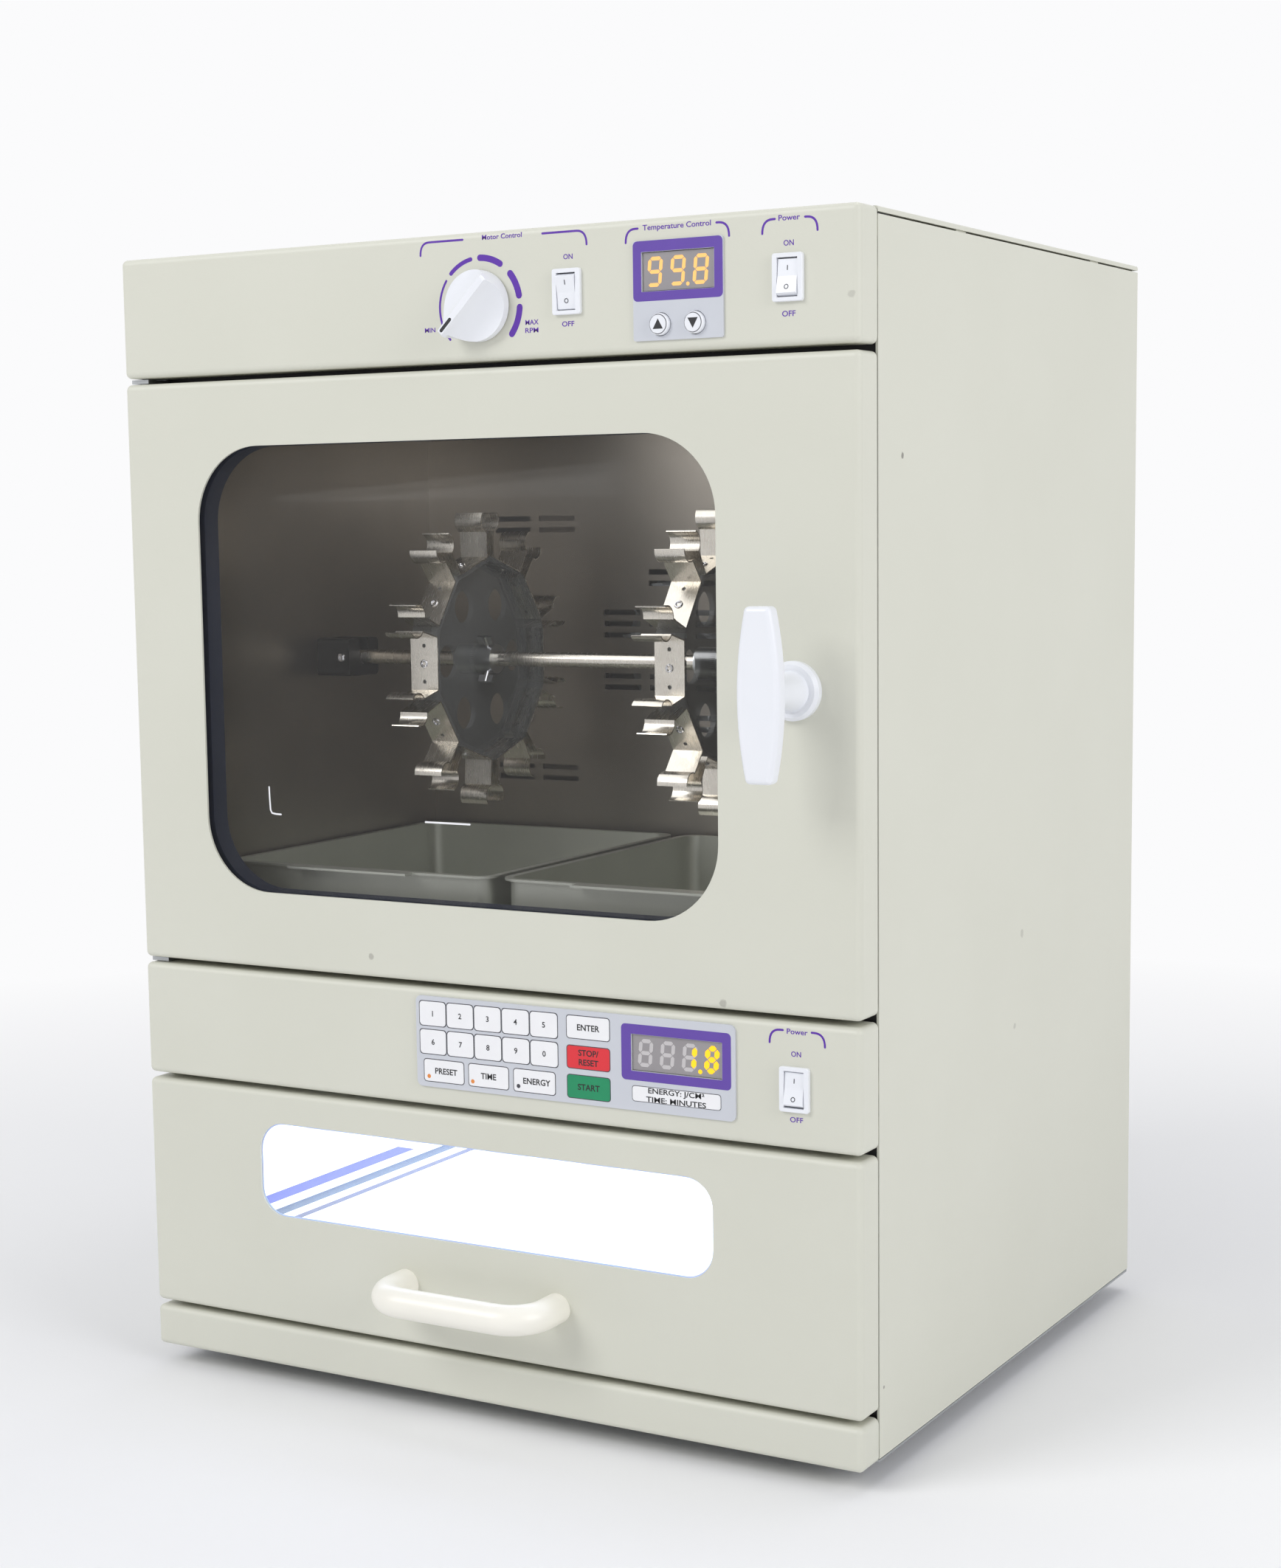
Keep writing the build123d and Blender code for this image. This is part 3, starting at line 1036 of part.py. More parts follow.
def speed_knob():
    """Pointer knob with a round skirt, a ridge between two scoops, a nose and its shaft."""
    base = -KNOB_GAP
    tip = -KNOB_GAP - KNOB_HEIGHT
    body = rod_y(0, 0, KNOB_RADIUS, tip, base)
    nose = Polyline((-KNOB_RIDGE / 2, 0), (-KNOB_RIDGE * 0.3, KNOB_NOSE), (KNOB_RIDGE * 0.3, KNOB_NOSE),
                    (KNOB_RIDGE / 2, 0), close=True)
    body += extrude(Plane.XZ.offset(-base) * make_face(nose), amount=KNOB_HEIGHT)
    body = fillet(body.faces().sort_by(Axis.Y)[0].edges(), 1.2)
    scoop_y = base - KNOB_SKIRT - KNOB_SCOOP_RADIUS
    for side in (-1, 1):
        x = side * (KNOB_RIDGE / 2 + KNOB_SCOOP_RADIUS * 0.8)
        body -= rod_z(x, scoop_y, KNOB_SCOOP_RADIUS, -2 * KNOB_RADIUS, 2 * KNOB_RADIUS)
    shaft = rod_y(0, 0, POT_SHAFT_RADIUS, tip / 2, POT_LENGTH / 2)
    bush = POT_BUSH_RADIUS + SOFT_CLEARANCE
    body -= rod_y(0, 0, POT_NUT_RADIUS + SOFT_CLEARANCE, -POT_NUT - SOFT_CLEARANCE, 0)
    body -= rod_y(0, 0, bush, -POT_NUT - SEAM - SOFT_CLEARANCE, 0)
    return Pos(SPEED_X, 0, SPEED_Z) * Rot(0, -KNOB_REST_DEG, 0) * (body + shaft)


def speed_potentiometer():
    """Body behind the fascia, threaded bush through it and a nut in front."""
    body = rod_y(SPEED_X, SPEED_Z, POT_RADIUS, SHEET, SHEET + POT_LENGTH)
    body += rod_y(SPEED_X, SPEED_Z, POT_BUSH_RADIUS, -POT_NUT - SEAM, SHEET)
    nut = RegularPolygon(POT_NUT_RADIUS, 6)
    body += extrude(Plane.XZ * Pos(SPEED_X, SPEED_Z) * nut, amount=POT_NUT)
    return body - rod_y(SPEED_X, SPEED_Z, POT_SHAFT_RADIUS + RUNNING_CLEARANCE, -POT_NUT - SEAM - 1,
                        POT_LENGTH / 2 + SOFT_CLEARANCE)


def readout_block(x, z, width, height):
    return slab(x - width / 2, x + width / 2, -PLATE - 1, SHEET + 1, z - height / 2, z + height / 2)


def display_module(x, z, width, height, board_width, board_z0, board_z1, y0):
    """Digit block on a circuit board that hangs on four studs behind the fascia."""
    block = slab(x - width / 2 + SOFT_CLEARANCE, x + width / 2 - SOFT_CLEARANCE, y0, BOARD_Y,
                 z - height / 2 + SOFT_CLEARANCE, z + height / 2 - SOFT_CLEARANCE)
    x0 = x - board_width / 2
    x1 = x + board_width / 2
    board = slab(x0, x1, BOARD_Y, BOARD_Y + BOARD, board_z0, board_z1)
    for stud_x in (x0 + STUD_RADIUS, x1 - STUD_RADIUS):
        for stud_z in (board_z0 + STUD_RADIUS, board_z1 - STUD_RADIUS):
            board += rod_y(stud_x, stud_z, STUD_RADIUS, SHEET, BOARD_Y)
    return block + board


def arrow_places():
    return (TEMPERATURE_X - ARROW_SPACING / 2, TEMPERATURE_X + ARROW_SPACING / 2)


def temperature_panel():
    """Overlay plate on the fascia with the opening of the readout and two button holes."""
    z1 = TOP - TEMPERATURE_TOP
    plate = front_plate(TEMPERATURE_X - TEMPERATURE_WIDTH / 2, TEMPERATURE_X + TEMPERATURE_WIDTH / 2,
                        z1 - TEMPERATURE_HEIGHT, z1, SHEET, -PLATE, 0)
    plate -= readout_block(TEMPERATURE_X, READOUT_Z, READOUT_WIDTH, READOUT_HEIGHT)
    for x in arrow_places():
        plate -= rod_y(x, ARROW_Z, ARROW_RADIUS + SOFT_CLEARANCE, -PLATE - 1, 1)
    return plate


def temperature_display():
    return display_module(TEMPERATURE_X, READOUT_Z, READOUT_WIDTH, READOUT_HEIGHT,
                          TEMPERATURE_WIDTH, ARROW_Z - ARROW_RADIUS, TOP - TEMPERATURE_TOP + BOARD_MARGIN, 0.0)


def arrow_button(x):
    """Round key with a flange behind the fascia."""
    back = SHEET + ARROW_BACK
    button = rod_y(x, ARROW_Z, ARROW_RADIUS, -PLATE - ARROW_PROUD, back)
    button = chamfer(button.faces().sort_by(Axis.Y)[0].edges(), ARROW_TRAVEL / 2)
    flange = SHEET + SOFT_CLEARANCE
    return button + rod_y(x, ARROW_Z, ARROW_RADIUS + ARROW_FLANGE, flange, flange + ARROW_FLANGE)


def keypad_overlay():
    """Membrane keypad in one sheet on the lower fascia, with the opening of the counter."""
    z1 = LOWER_TOP - KEYPAD_TOP
    sheet = front_plate(KEYPAD_X - KEYPAD_WIDTH / 2, KEYPAD_X + KEYPAD_WIDTH / 2, z1 - KEYPAD_HEIGHT, z1,
                        BEND_RADIUS, -PLATE, 0)
    return sheet - readout_block(COUNTER_X, COUNTER_Z, COUNTER_WIDTH, COUNTER_HEIGHT)


def keypad_display():
    z1 = LOWER_TOP - KEYPAD_TOP
    return display_module(COUNTER_X, COUNTER_Z, COUNTER_WIDTH, COUNTER_HEIGHT, COUNTER_WIDTH + 4 * BOARD_MARGIN,
                          z1 - KEYPAD_HEIGHT + BOARD_MARGIN, z1 - BOARD_MARGIN, 0.0)


def power_inlet():
    """Three-pin appliance inlet: a flange outside, a body inside and pins in an open recess."""
    back = CABINET_DEPTH + INLET_FLANGE
    flange = front_plate(INLET_X - INLET_WIDTH / 2, INLET_X + INLET_WIDTH / 2,
                         INLET_Z - INLET_HEIGHT / 2, INLET_Z + INLET_HEIGHT / 2, SEAM, CABINET_DEPTH, back)
    body = slab(INLET_X - INLET_BODY_WIDTH / 2, INLET_X + INLET_BODY_WIDTH / 2,
                back - INLET_BODY_DEPTH, CABINET_DEPTH,
                INLET_Z - INLET_BODY_HEIGHT / 2, INLET_Z + INLET_BODY_HEIGHT / 2)
    floor = back - INLET_RECESS_DEPTH
    recess = slab(INLET_X - INLET_RECESS_WIDTH / 2, INLET_X + INLET_RECESS_WIDTH / 2, floor, back + 1,
                  INLET_Z - INLET_RECESS_HEIGHT / 2, INLET_Z + INLET_RECESS_HEIGHT / 2)
    lower_edges = recess.edges().filter_by(Axis.Y).sort_by(Axis.Z)[:2]
    inlet = flange + body - chamfer(lower_edges, SEAM)
    for x, z in ((-INLET_PIN_SPACING, -INLET_PIN_DROP), (0, INLET_PIN_DROP), (INLET_PIN_SPACING, -INLET_PIN_DROP)):
        inlet += slab(INLET_X + x - 1, INLET_X + x + 1, floor, back - SEAM, INLET_Z + z - 2, INLET_Z + z + 2)
    return inlet


NODES = {
    "base_pan": base_pan,
    "left_side_panel": lambda: side_panel(-1),
    "right_side_panel": lambda: side_panel(1),
    "top_cover": top_cover,
    "back_panel": back_panel,
    "front_frame": front_frame,
    "control_fascia": control_fascia,
    "lower_fascia": lower_fascia,
    "kick_plate": kick_plate,
    "feet": feet,
    "oven_liner": oven_liner,
    "oven_insulation": oven_insulation,
    "air_baffle": air_baffle,
    "door_seal": door_seal,
    "drip_trays": drip_trays,
    "fan_wheel": fan_wheel,
    "fan_motor": fan_motor,
    "heater_element": heater_element,
    "temperature_probe": temperature_probe,
    "shaft_bearing_block": shaft_bearing_block,
    "gear_motor": gear_motor,
    "carousel_shaft": carousel_shaft,
    "left_wheel": lambda: wheel(wheel_places()[0]),
    "right_wheel": lambda: wheel(wheel_places()[1]),
    "wheel_hubs": wheel_hubs,
    "thumb_screws": thumb_screws,
    "left_bottle_clips": lambda: bottle_clips(wheel_places()[0]),
    "right_bottle_clips": lambda: bottle_clips(wheel_places()[1]),
    "oven_door_shell": oven_door_shell,
    "oven_door_inner_pan": oven_door_inner_pan,
    "oven_window_panes": oven_window_panes,
    "window_spacer": window_spacer,
    "hinge_pins": hinge_pins,
    "hinge_brackets": hinge_brackets,
    "latch_rosette": latch_rosette,
    "latch_handle": latch_handle,
    "latch_cam": latch_cam,
    "uv_chamber_liner": uv_chamber_liner,
    "uv_tubes": uv_tubes,
    "tube_sockets": tube_sockets,
    "ballasts": ballasts,
    "drawer_front": drawer_front,
    "drawer_window": drawer_window,
    "drawer_tray": drawer_tray,
    "drawer_slides": drawer_slides,
    "drawer_channels": drawer_channels,
    "drawer_handle": drawer_handle,
    "switch_housings": switch_housings,
    "motor_rocker": lambda: rocker("motor", ROCKER_TILT_DEG),
    "oven_rocker": lambda: rocker("oven", -ROCKER_TILT_DEG),
    "uv_rocker": lambda: rocker("uv", -ROCKER_TILT_DEG),
    "speed_knob": speed_knob,
    "speed_potentiometer": speed_potentiometer,
    "temperature_panel": temperature_panel,
    "temperature_display": temperature_display,
    "up_button": lambda: arrow_button(arrow_places()[0]),
    "down_button": lambda: arrow_button(arrow_places()[1]),
    "keypad_overlay": keypad_overlay,
    "keypad_display": keypad_display,
    "power_inlet": power_inlet,
}


def placed(shape):
    """One compound of a node's solids, moved so that the object's box is centred over the origin."""
    pieces = shape if isinstance(shape, list) else [shape]
    solids = [solid for piece in pieces for solid in piece.solids()]
    return Pos(0, -CENTRE_Y, 0) * Compound(children=solids)


os.makedirs("parts", exist_ok=True)
for node, make in NODES.items():
    export_step(placed(make()), f"parts/{node}.step")
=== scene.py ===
"""Looks of the hybridization oven with its ultraviolet crosslinker drawer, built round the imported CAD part.

Metres, X to the right, Y into the depth, Z up. Places on the front are given in millimetres to the right of
the middle and up from the top edge of the upper fascia, so their heights are negative.
"""

import json
import math

import bmesh
import bpy
from mathutils import Matrix, Vector
from mathutils.bvhtree import BVHTree

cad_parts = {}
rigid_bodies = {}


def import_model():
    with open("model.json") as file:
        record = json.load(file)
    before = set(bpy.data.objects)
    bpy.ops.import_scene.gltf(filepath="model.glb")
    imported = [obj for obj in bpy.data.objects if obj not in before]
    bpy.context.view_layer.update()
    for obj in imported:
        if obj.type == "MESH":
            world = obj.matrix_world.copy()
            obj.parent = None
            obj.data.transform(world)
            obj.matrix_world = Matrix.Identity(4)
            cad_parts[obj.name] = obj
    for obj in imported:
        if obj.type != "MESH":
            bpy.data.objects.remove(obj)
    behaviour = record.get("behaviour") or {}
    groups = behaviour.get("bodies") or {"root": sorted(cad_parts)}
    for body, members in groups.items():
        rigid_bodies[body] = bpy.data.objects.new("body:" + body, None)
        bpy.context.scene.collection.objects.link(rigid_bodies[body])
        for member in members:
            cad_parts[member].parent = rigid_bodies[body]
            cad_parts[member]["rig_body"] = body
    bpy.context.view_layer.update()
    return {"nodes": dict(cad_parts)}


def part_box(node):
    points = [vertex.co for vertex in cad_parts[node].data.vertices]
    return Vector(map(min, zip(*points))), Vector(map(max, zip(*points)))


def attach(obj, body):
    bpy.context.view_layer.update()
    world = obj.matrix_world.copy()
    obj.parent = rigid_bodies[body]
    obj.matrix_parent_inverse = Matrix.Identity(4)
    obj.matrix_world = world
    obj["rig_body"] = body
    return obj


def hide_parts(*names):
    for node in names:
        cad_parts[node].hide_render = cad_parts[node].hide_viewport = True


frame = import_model()
nodes = frame["nodes"]

MM = 0.001
FRONT_Y, TOP_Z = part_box("control_fascia")[0].y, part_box("control_fascia")[1].z
INK = 0.05  # thickness of a layer of ink or film in mm
KEYING = INK / 5  # how far a print's back lies inside its carrier in mm
CASTING_DISTANCE = 1.0  # how far before the front a ray starts in metres

# Camera, fitted to the cabinet's corners
CAMERA_PLACE = (0.6864, -1.2088, 0.4477)
CAMERA_YAW, CAMERA_PITCH, CAMERA_ROLL = 30.21, -6.95, 0.80
CAMERA_LENS = 59.41
CAMERA_SHIFT = (0.01854, 0.0327)


# Materials


def linear(colour):
    """Linear RGBA of an sRGB hex colour."""
    channels = [int(colour[start : start + 2], 16) / 255 for start in (1, 3, 5)]
    return (*[c / 12.92 if c <= 0.04045 else ((c + 0.055) / 1.055) ** 2.4 for c in channels], 1.0)


def add(tree, kind, inputs=None, **settings):
    """A node with its settings, whose inputs are values or sockets to link."""
    node = tree.nodes.new(kind)
    for name, value in settings.items():
        setattr(node, name, value)
    for name, value in (inputs or {}).items():
        if isinstance(value, bpy.types.NodeSocket):
            tree.links.new(value, node.inputs[name])
        else:
            node.inputs[name].default_value = value
    return node


def finish(name, colour, shade, grain, cloud, bump, rough, spread=0.04, stretch=(1, 1, 1), **sockets):
    """A surface whose colour drifts between two tones over clouds, and whose grain gives bump and roughness.

    Sizes are in mm: grain and cloud are the widths of the two patterns and bump the height of the grain.
    stretch draws the grain out along an axis, as a brush or a roller does. sockets are the shader's
    constants."""
    material = bpy.data.materials.new(name)
    material.use_nodes = True
    tree = material.node_tree
    shader = tree.nodes["Principled BSDF"]
    place = add(tree, "ShaderNodeTexCoord").outputs["Object"]
    drawn = add(tree, "ShaderNodeMapping", {"Vector": place, "Scale": [1 / s for s in stretch]})
    clouds = add(tree, "ShaderNodeTexNoise", {"Vector": place, "Scale": 1 / (cloud * MM), "Detail": 3.0})
    grains = add(tree, "ShaderNodeTexNoise", {"Vector": drawn.outputs["Vector"], "Scale": 1 / (grain * MM)})
    tones = {0: clouds.outputs["Fac"], 6: linear(colour), 7: linear(shade)}
    tone = add(tree, "ShaderNodeMix", tones, data_type="RGBA")
    dull = add(tree, "ShaderNodeMapRange", {
        "Value": grains.outputs["Fac"], "To Min": rough - spread, "To Max": rough + spread})
    relief = add(tree, "ShaderNodeBump", {
        "Height": grains.outputs["Fac"], "Distance": bump * MM, "Strength": 1.0})
    tree.links.new(tone.outputs[2], shader.inputs["Base Color"])
    tree.links.new(dull.outputs["Result"], shader.inputs["Roughness"])
    tree.links.new(relief.outputs["Normal"], shader.inputs["Normal"])
    for socket, value in sockets.items():
        shader.inputs[socket.replace("_", " ")].default_value = value
    return material


RAGGED_WIDTH = 2.5  # width in mm of the pattern that frays a mark's edge


def marked(material, marks, colour):
    """Chips and scuffs on a finish: spots with ragged edges.

    A mark is its place in mm from the front's top middle, its radius in mm and its strength."""
    tree = material.node_tree
    shader = tree.nodes["Principled BSDF"]
    place = add(tree, "ShaderNodeTexCoord").outputs["Object"]
    ragged = add(tree, "ShaderNodeTexNoise", {
        "Vector": place, "Scale": 1 / (RAGGED_WIDTH * MM), "Detail": 4.0})
    tone = shader.inputs["Base Color"].links[0].from_socket
    for x, depth, z, radius, strength in marks:
        spot = (x * MM, FRONT_Y + depth * MM, TOP_Z + z * MM)
        reach = add(tree, "ShaderNodeVectorMath", {0: place, 1: spot}, operation="DISTANCE")
        edge = add(tree, "ShaderNodeMath", {
            0: ragged.outputs["Fac"], 1: radius * MM, 2: radius * MM / 2}, operation="MULTIPLY_ADD")
        inside = add(tree, "ShaderNodeMath", {
            0: edge.outputs[0], 1: reach.outputs["Value"]}, operation="SUBTRACT")
        mask = add(tree, "ShaderNodeMapRange", {
            "Value": inside.outputs[0], "From Max": radius * MM / 3, "To Max": strength})
        worn = add(tree, "ShaderNodeMix", {
            0: mask.outputs["Result"], 6: tone, 7: linear(colour)}, data_type="RGBA")
        tone = worn.outputs[2]
    tree.links.new(tone, shader.inputs["Base Color"])
    return material


# Powder-coated sheet steel: a warm light grey with a soft sheen, pebbled like fine orange peel by the baked
# powder. The real pebbles are 0.5 mm wide and are drawn 1 mm wide so that they show.
enamel = finish("powder_coated_steel", "#D8D8CC", "#D2D2C5", 1.0, 90, 0.03, 0.42)
# Small knocks and grey scuffs in the coat, where things have touched the door's edge and the side.
marked(enamel, [
    (207.5, 45.4, -108.1, 1.6, 1.0), (207.5, 196.8, -349.0, 2.4, 0.35), (207.5, 187.1, -395.5, 1.8, 0.35),
    (207.5, 24.0, -537.5, 1.0, 0.9), (-61.2, 0.0, -350.3, 1.8, 0.5), (137.4, 0.0, -357.9, 2.2, 0.5),
    (203.5, 0.0, -39.2, 2.0, 0.3),
], "#8A877F")

# Painted shade: satin black on the front frame stands in for the shade deep in the seams between the pans, so
# that these read as dark lines.
seam_shade_black = finish("painted_seam_shade_black", "#16161A", "#1C1C1F", 1.0, 60, 0.02, 0.5)

# Electro-galvanised sheet, rolled: dull bluish grey with a faint cloudy bloom.
zinc_sheet = finish("galvanised_rolled_sheet", "#B4B6B8", "#A5A8AB", 0.8, 18, 0.01, 0.42, Metallic=1.0)

# Brushed stainless sheet of the oven: grey with a brown cast from heat, with fine lines along its length.
oven_steel = finish("stainless_sheet_brushed", "#A8A299", "#8E8880", 0.8, 70, 0.006, 0.34, 0.06, (40, 1, 1),
                    Metallic=1.0)

# Deep-drawn stainless of the drip trays: brighter than the walls and a little green from the glass.
tray_steel = finish("stainless_tray_drawn", "#D6D8CF", "#C6C8BF", 1.2, 40, 0.006, 0.42, 0.05,
                    Metallic=0.85)

# Polished stainless sheet: a soft mirror with faint lines along the depth.
mirror_steel = finish("stainless_sheet_polished", "#D5DCE2", "#C9D2DA", 1.0, 60, 0.002, 0.12, 0.03,
                      (1, 40, 1), Metallic=1.0)

# Spring steel strip, rolled bright: strong highlights on every bend, with faint rolling lines.
spring_steel = finish("spring_steel_rolled", "#EDE8DE", "#D2CCC2", 0.6, 9, 0.003, 0.26, 0.06, (1, 12, 12),
                      Metallic=1.0)

# Chrome plate on turned screws: nearly a mirror.
chrome = finish("chrome_plated_steel", "#D9D9DC", "#CFCFD3", 1.0, 6, 0.001, 0.1, 0.03, Metallic=1.0)

# Vulcanised rubber of the feet: dead black with a dry bloom.
rubber = finish("rubber_moulded", "#141414", "#1D1D1D", 0.7, 9, 0.03, 0.72)

# Silicone rubber of the oven's seal: dark grey and matt.
silicone = finish("silicone_rubber_extruded", "#35353A", "#2C2C30", 0.8, 14, 0.02, 0.6)

# Float glass of the oven window: sharp reflections and a faint grey cast. Light has to pass, so it is
# see-through by its alpha and not by refraction.
window_glass = finish("float_glass", "#6E6D6C", "#747372", 6.0, 80, 0.0005, 0.03, 0.01,
                      IOR=1.52, Alpha=0.045)

# Cast acrylic of the drawer window: clear and nearly without colour of its own.
acrylic = finish("acrylic_cast_sheet", "#F2F4FA", "#EAEEF8", 6.0, 60, 0.0005, 0.06, 0.02,
                 IOR=1.49, Alpha=0.05)

# The cut edge of that acrylic has painted light: a pale lilac-blue colour and a glow of its own stand in for
# the tubes' light that it gathers.
edge_painted_glow = finish("acrylic_edge_painted_glow", "#B9BCE6", "#A9CDEE", 3.0, 12, 0.002, 0.2,
                  IOR=1.49, Emission_Color=linear("#B4BDEB"), Emission_Strength=0.3)

# Dark blue-grey PVC of the spacer between the panes: matt and almost black in its own shadow.
dark_spacer = finish("pvc_extruded_dark", "#1B2030", "#222838", 0.9, 30, 0.02, 0.5)

# Moulded clear styrene of the wheels: a milky clear plastic with soft highlights on its edges.
clear_plastic = finish("polystyrene_moulded_clear", "#C9CCCC", "#BEC2C2", 2.0, 18, 0.002, 0.16,
                       IOR=1.59, Alpha=0.2)

# White ABS, injection moulded with a fine spark-eroded grain: knob, rockers, bezels and door handle. It is a
# slightly cold white beside the cream pull.
white_abs = finish("abs_moulded_white", "#F0F2F7", "#EAECF2", 0.7, 30, 0.006, 0.3, IOR=1.53)

# Cream nylon of the drawer's pull: a warm waxy white with a broad highlight.
cream_nylon = finish("nylon_moulded_cream", "#F8F5EC", "#F3F0E5", 0.8, 30, 0.006, 0.3, IOR=1.53)

# Black nylon, moulded: bearing block and inlet, matt enough to keep their edges soft.
black_nylon = finish("nylon_moulded_black", "#121214", "#19191C", 0.8, 16, 0.01, 0.45, IOR=1.53)

# Polyester film of the overlays: cool light grey and matt, embossed with a fine leather grain.
overlay_film = finish("polyester_film_embossed", "#CDD0D7", "#C8CBD3", 0.6, 30, 0.008, 0.45)

# Smoked acrylic lens over the digits: a grey haze with the lit diodes behind it.
lens = finish("acrylic_lens_smoked", "#9E9A9C", "#928E90", 0.8, 12, 0.002, 0.25, IOR=1.49)

# Satin stoving enamel of the motors.
motor_enamel = finish("stoving_enamel_grey", "#4A4D52", "#434649", 1.0, 40, 0.01, 0.42)

# Aluminium, turned and pressed: pale grey with a satin sheen.
aluminium = finish("aluminium_machined", "#C9CBCC", "#BDBFC1", 0.5, 20, 0.004, 0.3, 0.05, (1, 1, 12),
                   Metallic=1.0)

# Incoloy sheath of the heater: brown-grey and dulled by heat.
heater_sheath = finish("incoloy_heat_tinted", "#5E544C", "#4A433E", 0.8, 14, 0.01, 0.5, 0.06,
                       Metallic=1.0)

# Mineral wool blanket: pale yellow, matted fibres 3 mm apart.
mineral_wool = finish("mineral_wool_felted", "#E6D8AC", "#D3C392", 3.0, 22, 0.8, 0.95, 0.03, (3, 1, 1))

# Lit tube: soda glass with a phosphor coat that gives blue-white light.
tube_glass = finish("glass_tube_phosphor", "#EAF3FF", "#E0EDFF", 4.0, 60, 0.001, 0.2,
                    Emission_Color=linear("#DDEBFF"), Emission_Strength=1.6)

# Anodised aluminium reflector round the tubes, with painted light: its near-white colour and a glow of its
# own stand in for the tubes' light falling on it, so that it reads as white.
reflector = finish("aluminium_reflector_painted_glow", "#F8F8FB", "#F1F2F8", 1.5, 60, 0.004, 0.3,
                   Emission_Color=linear("#F6F7FF"), Emission_Strength=0.6)

# Painted reflections: tints of the tubes' ends and wires as the polished floor mirrors them, lilac, speckled
# teal and deep blue.
lilac_reflection = finish("painted_lilac_reflection", "#6F75B4", "#7E84C0", 1.0, 30, 0.002, 0.3)
teal_reflection = finish("painted_teal_reflection", "#04233F", "#155A72", 1.0, 5, 0.002, 0.25)
blue_reflection = finish("painted_blue_reflection", "#051C48", "#0E3568", 1.0, 7, 0.002, 0.25)

# The drawer's polished floor with painted light: a white colour and a glow of its own stand in for the light
# of the tubes above it, and it is duller than the reflector.
floor_painted_glow = finish("stainless_floor_painted_glow", "#F6F7FB", "#EEF1F8", 1.5, 60, 0.004, 0.25,
                   Emission_Color=linear("#F6F7FF"), Emission_Strength=0.3)

# Screen inks, drawn as thin as ink is: dense, even and a little glossy.
violet_ink = finish("screen_ink_violet", "#5A22A6", "#55209E", 0.5, 12, 0.004, 0.4)
display_ink = finish("screen_ink_violet_reverse", "#6446A8", "#5D40A0", 0.5, 12, 0.004, 0.3)
grey_ink = finish("screen_ink_dark_grey", "#3A3A42", "#44444C", 0.5, 12, 0.004, 0.4)
black_ink = finish("screen_ink_black", "#1A1A1E", "#202024", 0.5, 12, 0.004, 0.4)
white_ink = finish("screen_ink_white", "#F4F4F6", "#EEEEF1", 0.5, 12, 0.004, 0.4)
red_ink = finish("screen_ink_red", "#E2303A", "#DA2A34", 0.5, 12, 0.004, 0.38)
green_ink = finish("screen_ink_green", "#0E9060", "#0B8658", 0.5, 12, 0.004, 0.38)
orange_ink = finish("screen_ink_orange", "#E79042", "#DF863A", 0.5, 6, 0.004, 0.38)

# Light-emitting diode bars in milky epoxy: amber and yellow where lit, grey where not.
amber_light = finish("led_epoxy_amber", "#A8783C", "#9C6E34", 0.8, 4, 0.002, 0.4,
                     Emission_Color=linear("#FFC878"), Emission_Strength=0.85)
yellow_light = finish("led_epoxy_yellow", "#C09008", "#B48604", 0.8, 4, 0.002, 0.4,
                      Emission_Color=linear("#FFC614"), Emission_Strength=1.0)
unlit_diode = finish("led_epoxy_unlit", "#CBC7C8", "#C1BDBE", 0.8, 4, 0.002, 0.4)

SLOT_FINISHES = {
    "cream_paint": enamel, "inner_steel": zinc_sheet, "chamber_steel": oven_steel,
    "polished_steel": mirror_steel, "clip_steel": spring_steel, "chrome": chrome, "rubber_black": rubber,
    "seal_grey": silicone, "window_glass": window_glass, "window_acrylic": acrylic,
    "spacer_plastic": dark_spacer, "wheel_acrylic": clear_plastic, "white_plastic": white_abs,
    "handle_cream": cream_nylon, "black_plastic": black_nylon, "overlay_grey": overlay_film,
    "display_violet": lens, "motor_grey": motor_enamel, "aluminium": aluminium, "heater_steel": heater_sheath,
    "blanket": mineral_wool, "tube_glass": tube_glass,
}
# Nodes whose finish differs from that of their slot: real finishes, and painted shade or painted light on the
# front frame, chamber liner, tube sockets and drawer tray
NODE_FINISHES = {
    "front_frame": seam_shade_black, "uv_chamber_liner": reflector, "latch_handle": white_abs,
    "tube_sockets": reflector, "drawer_tray": floor_painted_glow, "drip_trays": tray_steel,
}

for node_name, node in nodes.items():
    for holder in node.material_slots:
        holder.material = NODE_FINISHES.get(node_name) or SLOT_FINISHES[holder.material.name]


# Flat prints and plates


def rounded(x0, x1, z0, z1, radius, steps=5):
    """Outline of a rectangle with round corners, counter-clockwise from the front."""
    corners = [(x1 - radius, z1 - radius, 0), (x0 + radius, z1 - radius, 90),
               (x0 + radius, z0 + radius, 180), (x1 - radius, z0 + radius, 270)]
    return [p for x, z, start in corners for p in arc(x, z, radius, start, start + 90, steps)]


def arc(x, z, radius, start, end, steps=10):
    """Points on an arc, by angles in degrees."""
    turns = [math.radians(start + (end - start) * i / steps) for i in range(steps + 1)]
    return [(x + radius * math.cos(a), z + radius * math.sin(a)) for a in turns]


def dot(x, z, radius, corners):
    """Outline of a round spot."""
    return arc(x, z, radius, 0, 360 - 360 / corners, corners - 1)


